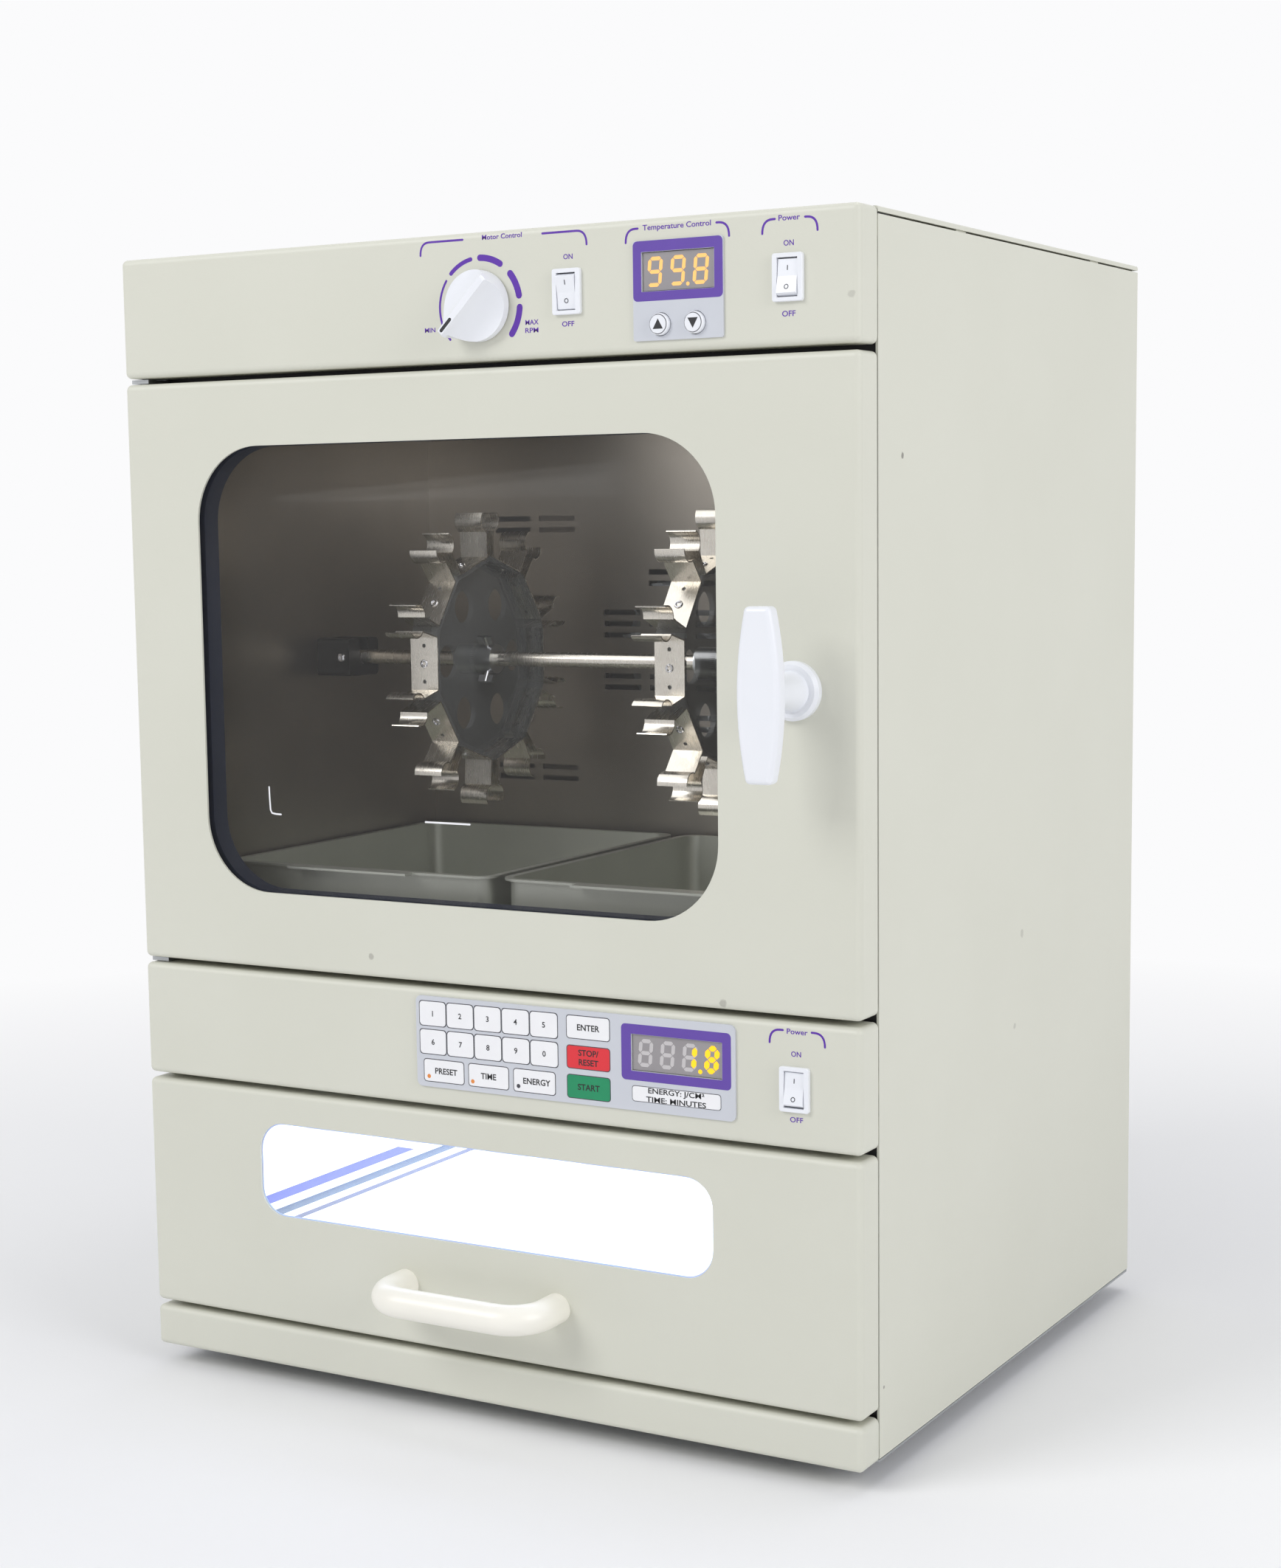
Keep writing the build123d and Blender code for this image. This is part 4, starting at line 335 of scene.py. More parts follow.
def ribbon(path, width):
    """Outline of a line of one width along a path, with round ends."""
    points = [Vector(p) for p in path]
    left, right = [], []
    for i, p in enumerate(points):
        along = (points[min(i + 1, len(points) - 1)] - points[max(i - 1, 0)]).normalized()
        across = Vector((-along.y, along.x)) * width / 2
        left.append(tuple(p + across))
        right.append(tuple(p - across))
    first, last = points[1] - points[0], points[-1] - points[-2]
    turn_in = math.degrees(math.atan2(first.y, first.x))
    turn_out = math.degrees(math.atan2(last.y, last.x))
    start_cap = arc(*points[0], width / 2, turn_in + 90, turn_in + 270, 6)
    end_cap = arc(*points[-1], width / 2, turn_out - 90, turn_out + 90, 6)
    return start_cap + right[1:-1] + end_cap + left[-2:0:-1]


CORNER_REACH = 0.85  # width of a printed bracket's corner as a share of its height
CORNER_STEPS = 8


def bracket(x_end, z_low, x_in, z_high):
    """Path of a printed bracket's half: up, round a corner and along to the heading."""
    side = 1 if x_in > x_end else -1
    reach = abs(z_high - z_low) * CORNER_REACH
    curve = []
    for i in range(CORNER_STEPS + 1):
        t = i / CORNER_STEPS
        curve.append((x_end + side * reach * t * t, z_low + (z_high - z_low) * (1 - (1 - t) ** 2)))
    return curve + [(x_in, z_high)]


surfaces = {}


def surface_y(carrier, x, z):
    """Depth of the carrier's front at a place, found by a ray from the front."""
    if carrier not in surfaces:
        mesh = nodes[carrier].data
        corners = [v.co for v in mesh.vertices]
        surfaces[carrier] = BVHTree.FromPolygons(corners, [p.vertices for p in mesh.polygons])
    start = Vector((x, FRONT_Y - CASTING_DISTANCE, z))
    hit = surfaces[carrier].ray_cast(start, Vector((0, 1, 0)))[0]
    if hit is None:
        raise ValueError(f"nothing of {carrier} at x {x / MM:.1f} z {(z - TOP_Z) / MM:.1f}")
    return hit.y


def walls(shell, near, far):
    """Side faces between two loops of corners."""
    for i in range(len(near)):
        j = (i + 1) % len(near)
        shell.faces.new((near[i], near[j], far[j], far[i]))


def closed(name, shell):
    """The mesh of a finished shell, with its faces pointing outwards."""
    bmesh.ops.recalc_face_normals(shell, faces=shell.faces)
    mesh = bpy.data.meshes.new(name)
    shell.to_mesh(mesh)
    shell.free()
    return mesh


def prism(name, outline, near_y, far_y):
    """Solid between two depths in metres, whose outline in mm lies in the front's plane."""
    shell = bmesh.new()
    near, far = ([shell.verts.new((x * MM, y, z * MM)) for x, z in outline] for y in (near_y, far_y))
    shell.faces.new(near)
    shell.faces.new(far)
    walls(shell, near, far)
    return closed(name, shell)


def piece(name, mesh, material, body):
    """A finished object at the origin that rides on a body."""
    mesh.materials.clear()
    mesh.materials.append(material)
    made = bpy.data.objects.new(name, mesh)
    bpy.context.scene.collection.objects.link(made)
    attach(made, body)
    return made


def printed(name, shapes, carrier, material, layer=1):
    """Thin plates on a carrier's front. A shape is an outline, or a pair of outlines for a ring.

    A print lies over what is printed on the layers below its own."""
    shell = bmesh.new()
    for shape in shapes:
        rings = shape if isinstance(shape, tuple) else (shape,)
        loops = []
        for ring in rings:
            spots = [Vector((x * MM, 0, TOP_Z + z * MM)) for x, z in ring]
            for spot in spots:
                spot.y = surface_y(carrier, spot.x, spot.z)
            front = [shell.verts.new(p - Vector((0, layer * INK * MM, 0))) for p in spots]
            back = [shell.verts.new(p + Vector((0, KEYING * MM, 0))) for p in spots]
            loops.append((front, back))
            walls(shell, front, back)
        if len(loops) == 1:
            shell.faces.new(loops[0][0])
            shell.faces.new(loops[0][1])
        else:
            for outer, inner in zip(*loops):
                walls(shell, outer, inner)
    bmesh.ops.recalc_face_normals(shell, faces=shell.faces)
    bmesh.ops.triangulate(shell, faces=shell.faces)
    return piece(name, closed(name, shell), material, nodes[carrier]["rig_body"])


CAPITAL_SHARE = 0.72  # height of a capital as a share of the letters' size


def lettering(name, words, x, z, height, carrier, material, layer=1, weight=0.0, span=None):
    """A word in plain sans letters, centred on a place on the carrier's front.

    In mm, height is that of a capital, span the width of the whole word and weight what fattens a stroke."""
    text = bpy.data.curves.new(name, "FONT")
    text.body = words
    text.size = height / CAPITAL_SHARE * MM
    text.align_x = "CENTER"
    text.offset = weight * MM
    text.extrude = INK * MM / 2
    text.resolution_u = 3
    holder = bpy.data.objects.new(name + "_curve", text)
    bpy.context.scene.collection.objects.link(holder)
    mesh = bpy.data.meshes.new_from_object(holder.evaluated_get(bpy.context.evaluated_depsgraph_get()))
    bpy.data.objects.remove(holder)
    if span:
        width = max(v.co.x for v in mesh.vertices) - min(v.co.x for v in mesh.vertices)
        mesh.transform(Matrix.Diagonal((span * MM / width, 1, 1, 1)))
    low = min(v.co.y for v in mesh.vertices)
    high = max(v.co.y for v in mesh.vertices)
    place = Vector((x * MM, 0, TOP_Z + z * MM))
    place.y = surface_y(carrier, place.x, place.z) - (layer - 0.5) * INK * MM
    upright = Matrix.Rotation(math.radians(90), 4, "X")
    mesh.transform(Matrix.Translation(place) @ upright @ Matrix.Translation((0, -(low + high) / 2, 0)))
    mesh.name = name
    return piece(name, mesh, material, nodes[carrier]["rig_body"])


# Upper fascia

FILM_SLOT = "overlay_grey"
LINE, HEADING_WEIGHT = 1.0, 0.045
printed("control_brackets", [ribbon(bracket(*half), LINE) for half in (
    (-21.9, -9.2, 2.2, -3.2), (70.1, -9.6, 46.4, -3.2), (90.8, -10.4, 97.1, -4.4),
    (143.8, -10.6, 137.5, -4.4), (160.3, -10.9, 166.5, -4.9), (187.3, -10.9, 181.3, -4.9))],
    "control_fascia", violet_ink)

# Speed scale: five strokes that grow wider from the lowest speed to the highest
SPEED_X, SPEED_Z, SCALE_RADIUS = 11.0, -34.5, 22.4
strokes = []
for start, end, width in ((222.7, 144, 1.1), (137, 99, 2.0), (92, 54, 3.0), (43.4, 6, 3.3), (0, -41.5, 3.2)):
    cap = math.degrees(width / 2 / SCALE_RADIUS)  # how far the stroke's round end reaches along the scale
    strokes.append(ribbon(arc(SPEED_X, SPEED_Z, SCALE_RADIUS, start - cap, end + cap, 14), width))
printed("speed_scale", strokes, "control_fascia", violet_ink)
for name, words, x, z, height, span in (
    ("heading_motor", "Motor Control", 24.1, -2.9, 2.3, 22.0),
    ("heading_temperature", "Temperature Control", 117.3, -4.6, 2.5, 35.0),
    ("heading_power", "Power", 173.4, -4.6, 2.5, 10.5), ("mark_min", "MIN", -17.3, -44.3, 2.2, 6.0),
    ("mark_max", "MAX", 39.8, -43.3, 2.3, 7.2), ("mark_rpm", "RPM", 39.8, -47.0, 2.3, 7.2),
    ("motor_on", "ON", 60.1, -14.5, 2.4, 5.0), ("motor_off", "OFF", 59.6, -45.0, 2.4, 6.6),
    ("oven_on", "ON", 173.3, -15.5, 2.5, 5.0), ("oven_off", "OFF", 173.1, -46.1, 2.5, 6.6),
):
    lettering(name, words, x, z, height, "control_fascia", violet_ink, 1, HEADING_WEIGHT, span)

# Lower fascia
printed("crosslinker_brackets", [ribbon(bracket(*half), LINE) for half in (
    (161.3, -373.9, 168.1, -367.7), (189.3, -373.9, 182.7, -367.7))], "lower_fascia", violet_ink)
for name, words, x, z, height, span in (
    ("heading_crosslinker_power", "Power", 175.2, -368.0, 2.5, 10.5),
    ("crosslinker_on", "ON", 174.8, -378.4, 2.5, 5.0), ("crosslinker_off", "OFF", 174.8, -409.0, 2.5, 6.6),
):
    lettering(name, words, x, z, height, "lower_fascia", violet_ink, 1, HEADING_WEIGHT, span)

# Temperature panel
surround = (rounded(95.0, 141.0, -37.1, -10.2, 2.2), rounded(99.3, 136.7, -32.9, -15.1, 0.3))
printed("temperature_surround", [surround], "temperature_panel", display_ink)
BUTTON_Z, RIM_RADIUS, RIM_INNER_RADIUS = -47.7, 4.55, 4.2
ARROW_HALF_WIDTH, ARROW_HEAD, ARROW_FOOT = 2.6, 2.5, 2.1
for name, x, point in (("up", 108.65, 1), ("down", 126.55, -1)):
    button = name + "_button"
    rim = (dot(x, BUTTON_Z, RIM_RADIUS, 48), dot(x, BUTTON_Z, RIM_INNER_RADIUS, 48))
    printed(button + "_rim", [rim], button, grey_ink)
    head = BUTTON_Z + point * ARROW_HEAD
    foot = BUTTON_Z - point * ARROW_FOOT
    arrow = [(x - ARROW_HALF_WIDTH, foot), (x + ARROW_HALF_WIDTH, foot), (x, head)]
    printed(button + "_arrow", [arrow], button, black_ink)

# Digits: seven bars each, with bevelled ends, leaning to the right as such digits do
BARS = {"0": "abcdef", "1": "bc", "2": "abdeg", "3": "abcdg", "4": "bcfg", "5": "acdfg", "6": "acdefg",
        "7": "abc", "8": "abcdefg", "9": "abcdfg", " ": ""}
DIGIT_HEIGHT, DIGIT_WIDTH, DIGIT_PITCH, DIGIT_LEAN = 13.4, 7.6, 11.8, 0.09
BAR_GAP = 0.12  # gap at a bar's end as a share of the bar's width


def digit(character, x, z, bar):
    """Outlines of a digit's lit bars, centred on a place."""
    half_w, half_h = (DIGIT_WIDTH - bar) / 2, (DIGIT_HEIGHT - bar) / 2
    ends = {"a": ((-half_w, half_h), (half_w, half_h)), "b": ((half_w, half_h), (half_w, 0)),
            "c": ((half_w, 0), (half_w, -half_h)), "d": ((-half_w, -half_h), (half_w, -half_h)),
            "e": ((-half_w, 0), (-half_w, -half_h)), "f": ((-half_w, half_h), (-half_w, 0)),
            "g": ((-half_w, 0), (half_w, 0))}
    outlines = []
    for letter in BARS[character]:
        start, end = Vector(ends[letter][0]), Vector(ends[letter][1])
        along = (end - start).normalized()
        across = Vector((-along.y, along.x)) * bar / 2
        start, end = start + along * bar * BAR_GAP, end - along * bar * BAR_GAP
        inset = along * bar / 2
        hexagon = (start, start + inset - across, end - inset - across,
                   end, end - inset + across, start + inset + across)
        outlines.append([(x + p.x + DIGIT_LEAN * p.y, z + p.y) for p in hexagon])
    return outlines


READOUT_X, READOUT_Z, READOUT_BAR = 105.8, -24.1, 1.7
temperature = [dot(122.7, -30.3, 0.9, 12)]
for i, figure in enumerate("998"):
    temperature += digit(figure, READOUT_X + i * DIGIT_PITCH, READOUT_Z, READOUT_BAR)
printed("temperature_digits", temperature, "temperature_display", amber_light)
COUNTER_X, COUNTER_Z, LIT_BAR, UNLIT_BAR = 95.9, -385.1, 2.7, 1.9
lit = [dot(125.1, -391.3, 1.1, 12)]
for i, figure in ((2, "1"), (3, "8")):
    lit += digit(figure, COUNTER_X + i * DIGIT_PITCH, COUNTER_Z, LIT_BAR)
unlit = [bar for i in range(3) for bar in digit("8", COUNTER_X + i * DIGIT_PITCH, COUNTER_Z, UNLIT_BAR)]
printed("counter_unlit_bars", unlit, "keypad_display", unlit_diode)
printed("counter_digits", lit, "keypad_display", yellow_light, layer=2)

# Membrane keypad
surround = (rounded(83.3, 141.8, -398.5, -371.5, 2.2), rounded(88.6, 137.2, -394.0, -376.2, 0.3))
printed("counter_surround", [surround], "keypad_overlay", display_ink)


# Repeats by Geometry Nodes


def repeat_tree(name, ring):
    """Node tree that sets copies of a part on a ring round the X axis, or in rows and columns."""
    tree = bpy.data.node_groups.new(name, "GeometryNodeTree")
    sizes = {"Count": "NodeSocketInt", "Centre": "NodeSocketVector", "Part": "NodeSocketObject",
             "Finish": "NodeSocketMaterial"}
    sizes.update({"Radius": "NodeSocketFloat", "Start": "NodeSocketFloat"} if ring else
                 {"Columns": "NodeSocketInt", "Pitch X": "NodeSocketFloat", "Pitch Z": "NodeSocketFloat"})
    for label, kind in sizes.items():
        tree.interface.new_socket(label, in_out="INPUT", socket_type=kind)
    tree.interface.new_socket("Geometry", in_out="OUTPUT", socket_type="NodeSocketGeometry")
    given = add(tree, "NodeGroupInput").outputs
    index = add(tree, "GeometryNodeInputIndex").outputs[0]
    if ring:
        share = add(tree, "ShaderNodeMath", {0: index, 1: given["Count"]}, operation="DIVIDE")
        angle = add(tree, "ShaderNodeMath", {
            0: share.outputs[0], 1: math.tau, 2: given["Start"]}, operation="MULTIPLY_ADD")
        y = add(tree, "ShaderNodeMath", {0: angle.outputs[0]}, operation="COSINE")
        z = add(tree, "ShaderNodeMath", {0: angle.outputs[0]}, operation="SINE")
        spoke = add(tree, "ShaderNodeCombineXYZ", {"Y": y.outputs[0], "Z": z.outputs[0]})
        offset = add(tree, "ShaderNodeVectorMath", {
            0: spoke.outputs[0], "Scale": given["Radius"]}, operation="SCALE")
        lean = add(tree, "ShaderNodeMath", {0: angle.outputs[0], 1: math.pi / 2}, operation="SUBTRACT")
        turn = add(tree, "ShaderNodeCombineXYZ", {"X": lean.outputs[0]}).outputs[0]
    else:
        column = add(tree, "ShaderNodeMath", {0: index, 1: given["Columns"]}, operation="MODULO")
        ratio = add(tree, "ShaderNodeMath", {0: index, 1: given["Columns"]}, operation="DIVIDE")
        row = add(tree, "ShaderNodeMath", {0: ratio.outputs[0]}, operation="FLOOR")
        x = add(tree, "ShaderNodeMath", {0: column.outputs[0], 1: given["Pitch X"]}, operation="MULTIPLY")
        z = add(tree, "ShaderNodeMath", {0: row.outputs[0], 1: given["Pitch Z"]}, operation="MULTIPLY")
        offset = add(tree, "ShaderNodeCombineXYZ", {"X": x.outputs[0], "Z": z.outputs[0]})
        turn = (0.0, 0.0, 0.0)
    spot = add(tree, "ShaderNodeVectorMath", {0: given["Centre"], 1: offset.outputs[0]}, operation="ADD")
    points = add(tree, "GeometryNodePoints", {"Count": given["Count"], "Position": spot.outputs[0]})
    part = add(tree, "GeometryNodeObjectInfo", {"Object": given["Part"]})
    copies = add(tree, "GeometryNodeInstanceOnPoints", {
        "Points": points.outputs[0], "Instance": part.outputs["Geometry"], "Rotation": turn})
    solid = add(tree, "GeometryNodeRealizeInstances", {"Geometry": copies.outputs[0]})
    coated = add(tree, "GeometryNodeSetMaterial", {
        "Geometry": solid.outputs[0], "Material": given["Finish"]})
    add(tree, "NodeGroupOutput", {"Geometry": coated.outputs[0]})
    return tree


on_ring = repeat_tree("parts_on_a_ring", True)
in_rows = repeat_tree("parts_in_rows", False)


def repeated(name, tree, part_mesh, material, body, slot, **sizes):
    """Copies of a part by a tree, as one plain mesh on a body."""
    part = bpy.data.objects.new(name + "_part", part_mesh)
    holder = bpy.data.objects.new(name + "_holder", bpy.data.meshes.new(name))
    bpy.context.scene.collection.objects.link(part)
    bpy.context.scene.collection.objects.link(holder)
    modifier = holder.modifiers.new("repeat", "NODES")
    modifier.node_group = tree
    sockets = {item.name: item.identifier for item in tree.interface.items_tree if item.in_out == "INPUT"}
    for label, value in {"Part": part, "Finish": material, **sizes}.items():
        modifier[sockets[label.replace("_", " ")]] = value
    mesh = bpy.data.meshes.new_from_object(holder.evaluated_get(bpy.context.evaluated_depsgraph_get()))
    mesh.name = name
    bpy.data.objects.remove(holder)
    bpy.data.objects.remove(part)
    return piece(name, mesh, material, body)


def turned(name, profile, tilt=0, steps=20):
    """A small closed turned part from a profile of (radius, height) in mm, tilted from upright."""
    shell = bmesh.new()
    rings = []
    for radius, height in profile:
        turns = [math.tau * i / steps for i in range(steps)]
        rings.append([shell.verts.new((radius * math.cos(a) * MM, radius * math.sin(a) * MM, height * MM))
                      for a in turns])
    for lower, upper in zip(rings, rings[1:]):
        walls(shell, lower, upper)
    shell.faces.new(rings[0])
    shell.faces.new(rings[-1])
    mesh = closed(name, shell)
    mesh.transform(Matrix.Rotation(math.radians(tilt), 4, "X"))
    return mesh


# Number keys: two rows of five, each a dark line round a white face
KEY_X, KEY_Z, KEY_PITCH_X, KEY_PITCH_Z, KEY_COLUMNS = -32.1, -369.8, 16.1, -14.2, 5
KEY_WIDTH, KEY_HEIGHT, KEY_RADIUS, KEY_LINE = 16.0, 12.8, 1.7, 0.4
FIGURE_HEIGHT, FIGURE_WEIGHT = 2.8, 0.06
film_y = surface_y("keypad_overlay", KEY_X * MM, TOP_Z + KEY_Z * MM)
for name, inset, layer, material in (
    ("number_key_lines", 0.0, 1, grey_ink), ("number_key_faces", KEY_LINE, 2, white_ink),
):
    outline = rounded(0, KEY_WIDTH - 2 * inset, -KEY_HEIGHT + 2 * inset, 0, KEY_RADIUS)
    plate = prism(name + "_plate", outline, -layer * INK * MM, KEYING * MM)
    corner = ((KEY_X + inset) * MM, film_y, TOP_Z + (KEY_Z - inset) * MM)
    repeated(name, in_rows, plate, material, "cabinet", FILM_SLOT, Count=10, Columns=KEY_COLUMNS,
             Centre=corner, Pitch_X=KEY_PITCH_X * MM, Pitch_Z=KEY_PITCH_Z * MM)
for i, figure in enumerate("1234567890"):
    x = KEY_X + KEY_WIDTH / 2 + (i % KEY_COLUMNS) * KEY_PITCH_X
    z = KEY_Z - KEY_HEIGHT / 2 + (i // KEY_COLUMNS) * KEY_PITCH_Z
    lettering("key_figure_" + figure, figure, x, z, FIGURE_HEIGHT, "keypad_overlay", black_ink,
              3, FIGURE_WEIGHT)

# Wide keys: name, words, left, right, top and bottom edge, ink, and how far right of the middle the
# words stand
WIDE_KEYS = (
    ("preset", "PRESET", -30.0, -6.0, -398.9, -410.6, white_ink, 1.2),
    ("time", "TIME", -3.7, 20.0, -398.9, -410.6, white_ink, 0.0),
    ("energy", "ENERGY", 22.4, 46.6, -398.9, -410.6, white_ink, 1.2),
    ("enter", "ENTER", 52.9, 77.2, -369.9, -381.5, white_ink, 0.0),
    ("stop", "STOP/\nRESET", 52.9, 77.2, -384.5, -396.1, red_ink, 0.0),
    ("start", "START", 52.9, 77.2, -398.8, -410.6, green_ink, 0.0),
)
KEY_FACE_RADIUS, WORD_HEIGHT, WORD_WEIGHT, WORD_PITCH = 1.4, 3.0, 0.08, 4.6
printed("wide_key_lines", [rounded(x0, x1, z0, z1, KEY_RADIUS) for _, _, x0, x1, z1, z0, _, _ in WIDE_KEYS],
        "keypad_overlay", grey_ink)
for name, words, x0, x1, z1, z0, ink, shift in WIDE_KEYS:
    face = rounded(x0 + KEY_LINE, x1 - KEY_LINE, z0 + KEY_LINE, z1 - KEY_LINE, KEY_FACE_RADIUS)
    printed(name + "_key", [face], "keypad_overlay", ink, layer=2)
    lines = words.split("\n")
    x = (x0 + x1) / 2 + shift
    for row, line in enumerate(lines):
        z = (z0 + z1) / 2 + ((len(lines) - 1) / 2 - row) * WORD_PITCH
        word = f"{name}_word_{row}"
        lettering(word, line, x, z, WORD_HEIGHT, "keypad_overlay", black_ink, 3, WORD_WEIGHT)
KEY_LAMP_RADIUS = 1.05
for name, x, z, ink in (("preset_lamp", -26.9, -407.8, orange_ink), ("time_lamp", -1.1, -408.0, orange_ink),
                        ("energy_lamp", 25.4, -407.7, grey_ink)):
    printed(name, [dot(x, z, KEY_LAMP_RADIUS, 16)], "keypad_overlay", ink, layer=3)
label_line, label = rounded(88.9, 136.5, -408.6, -400.9, 1.5), rounded(89.2, 136.2, -408.3, -401.2, 1.3)
printed("counter_label_line", [label_line], "keypad_overlay", grey_ink)
printed("counter_label", [label], "keypad_overlay", white_ink, layer=2)
LABEL_X, LABEL_LETTER_HEIGHT, LABEL_WEIGHT = 112.6, 2.6, 0.06
for name, words, z, span in (
    ("counter_label_energy", "ENERGY: J/CM²", -403.1, 30.0),
    ("counter_label_time", "TIME: MINUTES", -406.9, 32.0),
):
    lettering(name, words, LABEL_X, z, LABEL_LETTER_HEIGHT, "keypad_overlay", black_ink, 3,
              LABEL_WEIGHT, span)

# Rocker marks: a bar above for on, a ring below for off
ON_BAR_HEIGHTS, ON_BAR_WIDTH = (3.2, 4.1, 5.0), 0.45
OFF_RING_DROP, OFF_RING_RADIUS, OFF_RING_INNER_RADIUS, OFF_RING_CORNERS = 4.2, 1.15, 0.75, 24
for rocker, x, z in (
    ("motor_rocker", 59.6, -30.4), ("oven_rocker", 173.2, -30.4), ("uv_rocker", 174.3, -394.8),
):
    bar = ribbon([(x, z + height) for height in ON_BAR_HEIGHTS], ON_BAR_WIDTH)
    ring = (dot(x, z - OFF_RING_DROP, OFF_RING_RADIUS, OFF_RING_CORNERS),
            dot(x, z - OFF_RING_DROP, OFF_RING_INNER_RADIUS, OFF_RING_CORNERS))
    printed(rocker + "_bar", [bar], rocker, grey_ink)
    printed(rocker + "_ring", [ring], rocker, grey_ink)

# Knob pointer: a black line that runs out along the nose
POINTER, POINTER_WIDTH = math.radians(225), 1.7
line = [(SPEED_X + r * math.cos(POINTER), SPEED_Z + r * math.sin(POINTER)) for r in (9.5, 12, 14.5, 16.4)]
printed("speed_pointer", [ribbon(line, POINTER_WIDTH)], "speed_knob", black_ink)

# White lines on the oven's glass: a corner and a dash
GLASS_LINE = 0.9
corner = [(-122.8, -267.8), (-122.6, -274), (-122.3, -279.4), (-121.4, -281.0), (-119, -281.4),
          (-115.8, -281.5)]
dash = [(-27.2, -281.3), (-14, -281.3), (-1.3, -281.3)]
printed("oven_glass_lines", [ribbon(path, GLASS_LINE) for path in (corner, dash)],
        "oven_window_panes", white_ink)

# Drawer front: the folded sheet, whose window has its corners cut out to the tighter radius of the real one
WINDOW = (-134.5, 131.0, -491.5, -442.2)
WINDOW_RADIUS, WINDOW_STEPS, SHEET_CUT = 15.0, 10, 3.0
opening = rounded(*WINDOW, WINDOW_RADIUS, WINDOW_STEPS)
cutter_mesh = prism("window_cutter", opening, FRONT_Y - SHEET_CUT * MM, FRONT_Y + SHEET_CUT * MM)
cutter_mesh.transform(Matrix.Translation((0, 0, TOP_Z)))
cutter = bpy.data.objects.new("window_cutter", cutter_mesh)
uncut = bpy.data.objects.new("uncut_front", nodes["drawer_front"].data.copy())
bpy.context.scene.collection.objects.link(cutter)
bpy.context.scene.collection.objects.link(uncut)
cut = uncut.modifiers.new("window", "BOOLEAN")
cut.object = cutter
cut.solver = "EXACT"
front_mesh = bpy.data.meshes.new_from_object(uncut.evaluated_get(bpy.context.evaluated_depsgraph_get()))
bpy.data.objects.remove(uncut)
bpy.data.objects.remove(cutter)
front_mesh.name = "drawer_front_sheet"
front_sheet = piece("drawer_front_sheet", front_mesh, enamel, "uv_drawer")
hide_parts("drawer_front")

# Painted glow on the cut edge of the drawer's acrylic, just inside the opening of its front
EDGE_LINE = 0.7
x0, x1, z0, z1 = WINDOW
within = rounded(x0 + EDGE_LINE, x1 - EDGE_LINE, z0 + EDGE_LINE, z1 - EDGE_LINE,
                 WINDOW_RADIUS - EDGE_LINE, WINDOW_STEPS)
printed("drawer_window_edge", [(opening, within)], "drawer_window", edge_painted_glow)

# Painted reflections beside the tubes: tinted bands on the floor and at the foot of the left wall, where
# these mirror the tubes' ends and wires
tray_low, tray_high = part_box("drawer_tray")
tray_top = tray_high.z / MM
BAND_END_GAP, BAND_THICKNESS = 3.0, 0.15
for name, x0, x1, z0, z1, material, body in (
    ("wall_foot_band", -169.9, -169.7, 80.0, 85.0, lilac_reflection, "cabinet"),
    ("floor_teal_band", -159.0, -150.5, tray_top, tray_top + BAND_THICKNESS, teal_reflection, "uv_drawer"),
    ("floor_blue_line", -142.0, -137.4, tray_top, tray_top + BAND_THICKNESS, blue_reflection, "uv_drawer"),
):
    section = [(x0, z0), (x1, z0), (x1, z1), (x0, z1)]
    band = prism(name, section, tray_low.y + BAND_END_GAP * MM, tray_high.y - BAND_END_GAP * MM)
    piece(name, band, material, body)

# Rivets of the bottle clips: hollow rivets with a rolled rim
RIVET = [(2.3, -0.2), (2.3, 0.35), (2.0, 0.65), (1.5, 0.7), (1.2, 0.5), (1.0, 0.1), (0.9, -0.1)]
CLIP_SEAT_RADIUS, CLIP_COUNT = 53.6, 10
shaft_low, shaft_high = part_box("carousel_shaft")
shaft_y, shaft_z = (shaft_low.y + shaft_high.y) / 2, (shaft_low.z + shaft_high.z) / 2
for side in ("left", "right"):
    low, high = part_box(side + "_bottle_clips")
    middle = ((low.x + high.x) / 2, shaft_y, shaft_z)
    repeated(side + "_clip_rivets", on_ring, turned(side + "_rivet", RIVET), chrome, "carousel", "chrome",
             Count=CLIP_COUNT, Centre=middle, Radius=CLIP_SEAT_RADIUS * MM, Start=math.pi)

# Pan-head screws
PAN_HEAD = [(2.6, -0.3), (2.6, 0.5), (2.3, 1.1), (1.6, 1.55), (1.1, 1.65), (0.9, 0.9), (0.5, 0.7)]
back_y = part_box("back_panel")[1].y
for name, x, z, count, columns, pitch_x, pitch_z in (
    ("back_panel_screws", -200.0, 572.0, 6, 2, 400.0, -270.0),
    ("back_middle_screws", -66.0, 572.0, 4, 2, 132.0, -540.0),
):
    repeated(name, in_rows, turned(name + "_head", PAN_HEAD, -90), zinc_sheet, "cabinet", "inner_steel",
             Count=count, Columns=columns, Centre=(x * MM, back_y, z * MM),
             Pitch_X=pitch_x * MM, Pitch_Z=pitch_z * MM)
block_low, block_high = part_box("shaft_bearing_block")
BLOCK_SCREW_INSET = 5.0
screw_place = (block_high.x - BLOCK_SCREW_INSET * MM, block_low.y, shaft_z)
repeated("bearing_block_screw", in_rows, turned("bearing_screw_head", PAN_HEAD, 90), chrome, "cabinet",
         "chrome", Count=1, Columns=1, Centre=screw_place, Pitch_X=0.0, Pitch_Z=0.0)


# Stage, light and camera

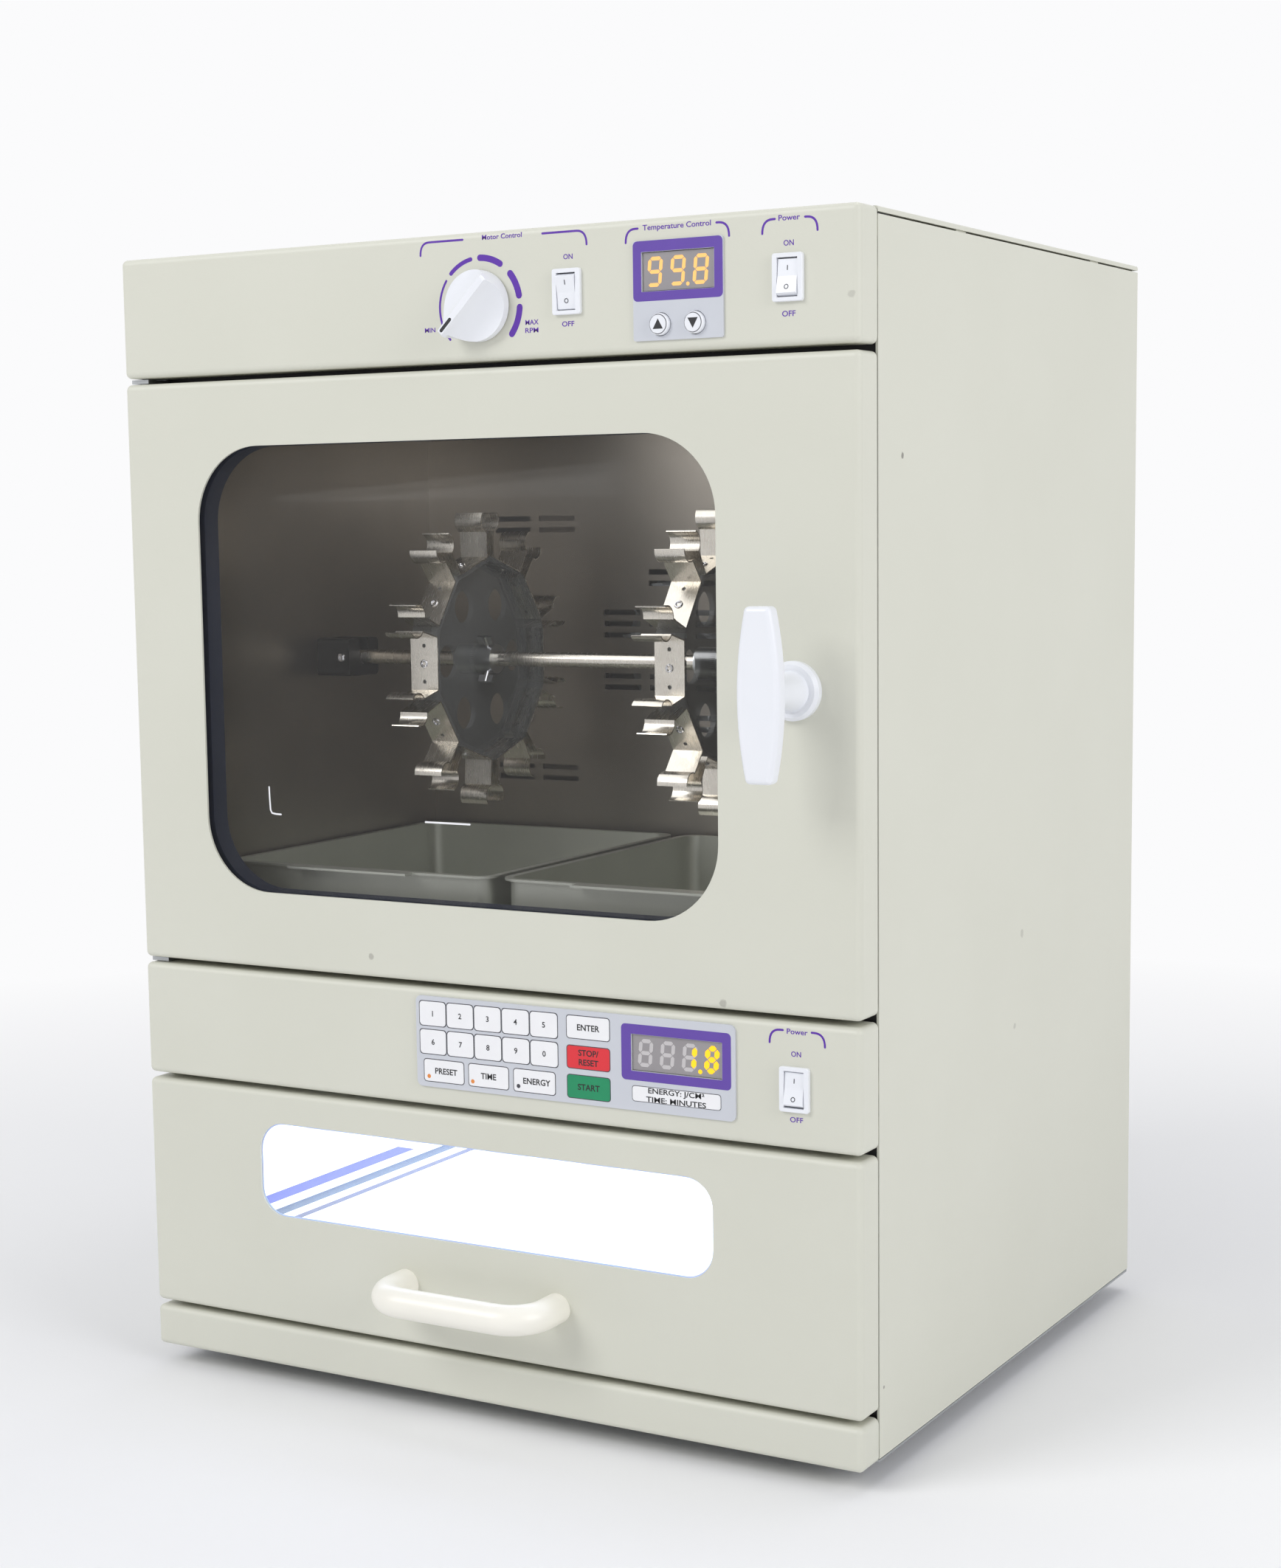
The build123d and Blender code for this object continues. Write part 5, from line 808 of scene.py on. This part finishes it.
FLOOR_REACH, FADE_START, FADE_END = 4.0, 0.35, 1.3  # metres from below the object's middle
floor_mesh = bpy.data.meshes.new("floor")
corners = [(x * FLOOR_REACH, y * FLOOR_REACH, 0) for x, y in ((-1, -1), (1, -1), (1, 1), (-1, 1))]
floor_mesh.from_pydata(corners, [], [(0, 1, 2, 3)])
floor = bpy.data.objects.new("floor", floor_mesh)
bpy.context.scene.collection.objects.link(floor)
# Matt painted board under the object, nearly white, that fades to the backdrop's white away from the object
board = finish("painted_board", "#F4F4F6", "#F2F2F4", 4.0, 400, 0.01, 0.7)
tree = board.node_tree
spot = add(tree, "ShaderNodeTexCoord").outputs["Object"]
away = add(tree, "ShaderNodeVectorMath", {0: spot}, operation="LENGTH")
fade = add(tree, "ShaderNodeMapRange", {
    "Value": away.outputs["Value"], "From Min": FADE_START, "From Max": FADE_END})
glow = add(tree, "ShaderNodeEmission", {"Color": linear("#FBFBFC")})
mixed = add(tree, "ShaderNodeMixShader", {
    0: fade.outputs["Result"], 1: tree.nodes["Principled BSDF"].outputs[0], 2: glow.outputs[0]})
tree.links.new(mixed.outputs[0], tree.nodes["Material Output"].inputs["Surface"])
floor_mesh.materials.append(board)

world = bpy.data.worlds.new("studio")
world.use_nodes = True
bpy.context.scene.world = world
sky = world.node_tree
sky.nodes.clear()
path = add(sky, "ShaderNodeLightPath").outputs
seen = add(sky, "ShaderNodeMath", {0: path["Is Camera Ray"], 1: path["Is Glossy Ray"]}, operation="MAXIMUM")
seen = add(sky, "ShaderNodeMath", {0: seen.outputs[0], 1: path["Is Transmission Ray"]}, operation="MAXIMUM")
soft = add(sky, "ShaderNodeBackground", {"Color": linear("#F4F6FA"), "Strength": 0.5})
white = add(sky, "ShaderNodeBackground", {"Color": linear("#FBFBFC"), "Strength": 1.0})
blend = add(sky, "ShaderNodeMixShader", {0: seen.outputs[0], 1: soft.outputs[0], 2: white.outputs[0]})
add(sky, "ShaderNodeOutputWorld", {"Surface": blend.outputs[0]})

TARGET = Vector((0.0, 0.0, 0.3))
for name, place, size, power in (
    ("key", (-1.5, -2.6, 2.4), 1.8, 53.0), ("side_fill", (2.7, -0.7, 1.4), 1.6, 29.0),
    ("top_fill", (0.2, 0.6, 2.8), 1.6, 15.0),
    ("oven_glow", (-0.013, -0.08, 0.497), 0.2, 0.22),
):
    lamp = bpy.data.lights.new(name, "AREA")
    lamp.size = size
    lamp.energy = power
    holder = bpy.data.objects.new(name, lamp)
    holder.location = place
    holder.visible_camera = False
    holder.rotation_euler = (TARGET - Vector(place)).to_track_quat("-Z", "Y").to_euler()
    bpy.context.scene.collection.objects.link(holder)

camera = bpy.data.objects.new("camera", bpy.data.cameras.new("camera"))
camera.data.sensor_width = 36.0
camera.data.lens = CAMERA_LENS
camera.data.shift_x, camera.data.shift_y = CAMERA_SHIFT
camera.data.clip_start, camera.data.clip_end = 0.01, 50.0
turn = (Matrix.Rotation(math.radians(CAMERA_YAW), 4, "Z")
        @ Matrix.Rotation(math.radians(CAMERA_PITCH), 4, "X")
        @ Matrix.Rotation(math.radians(CAMERA_ROLL), 4, "Y"))
looking_along_y = Matrix.Rotation(math.radians(90), 4, "X")
camera.matrix_world = Matrix.Translation(CAMERA_PLACE) @ turn @ looking_along_y
bpy.context.scene.collection.objects.link(camera)
bpy.context.scene.camera = camera
bpy.context.scene.view_settings.view_transform = "Standard"
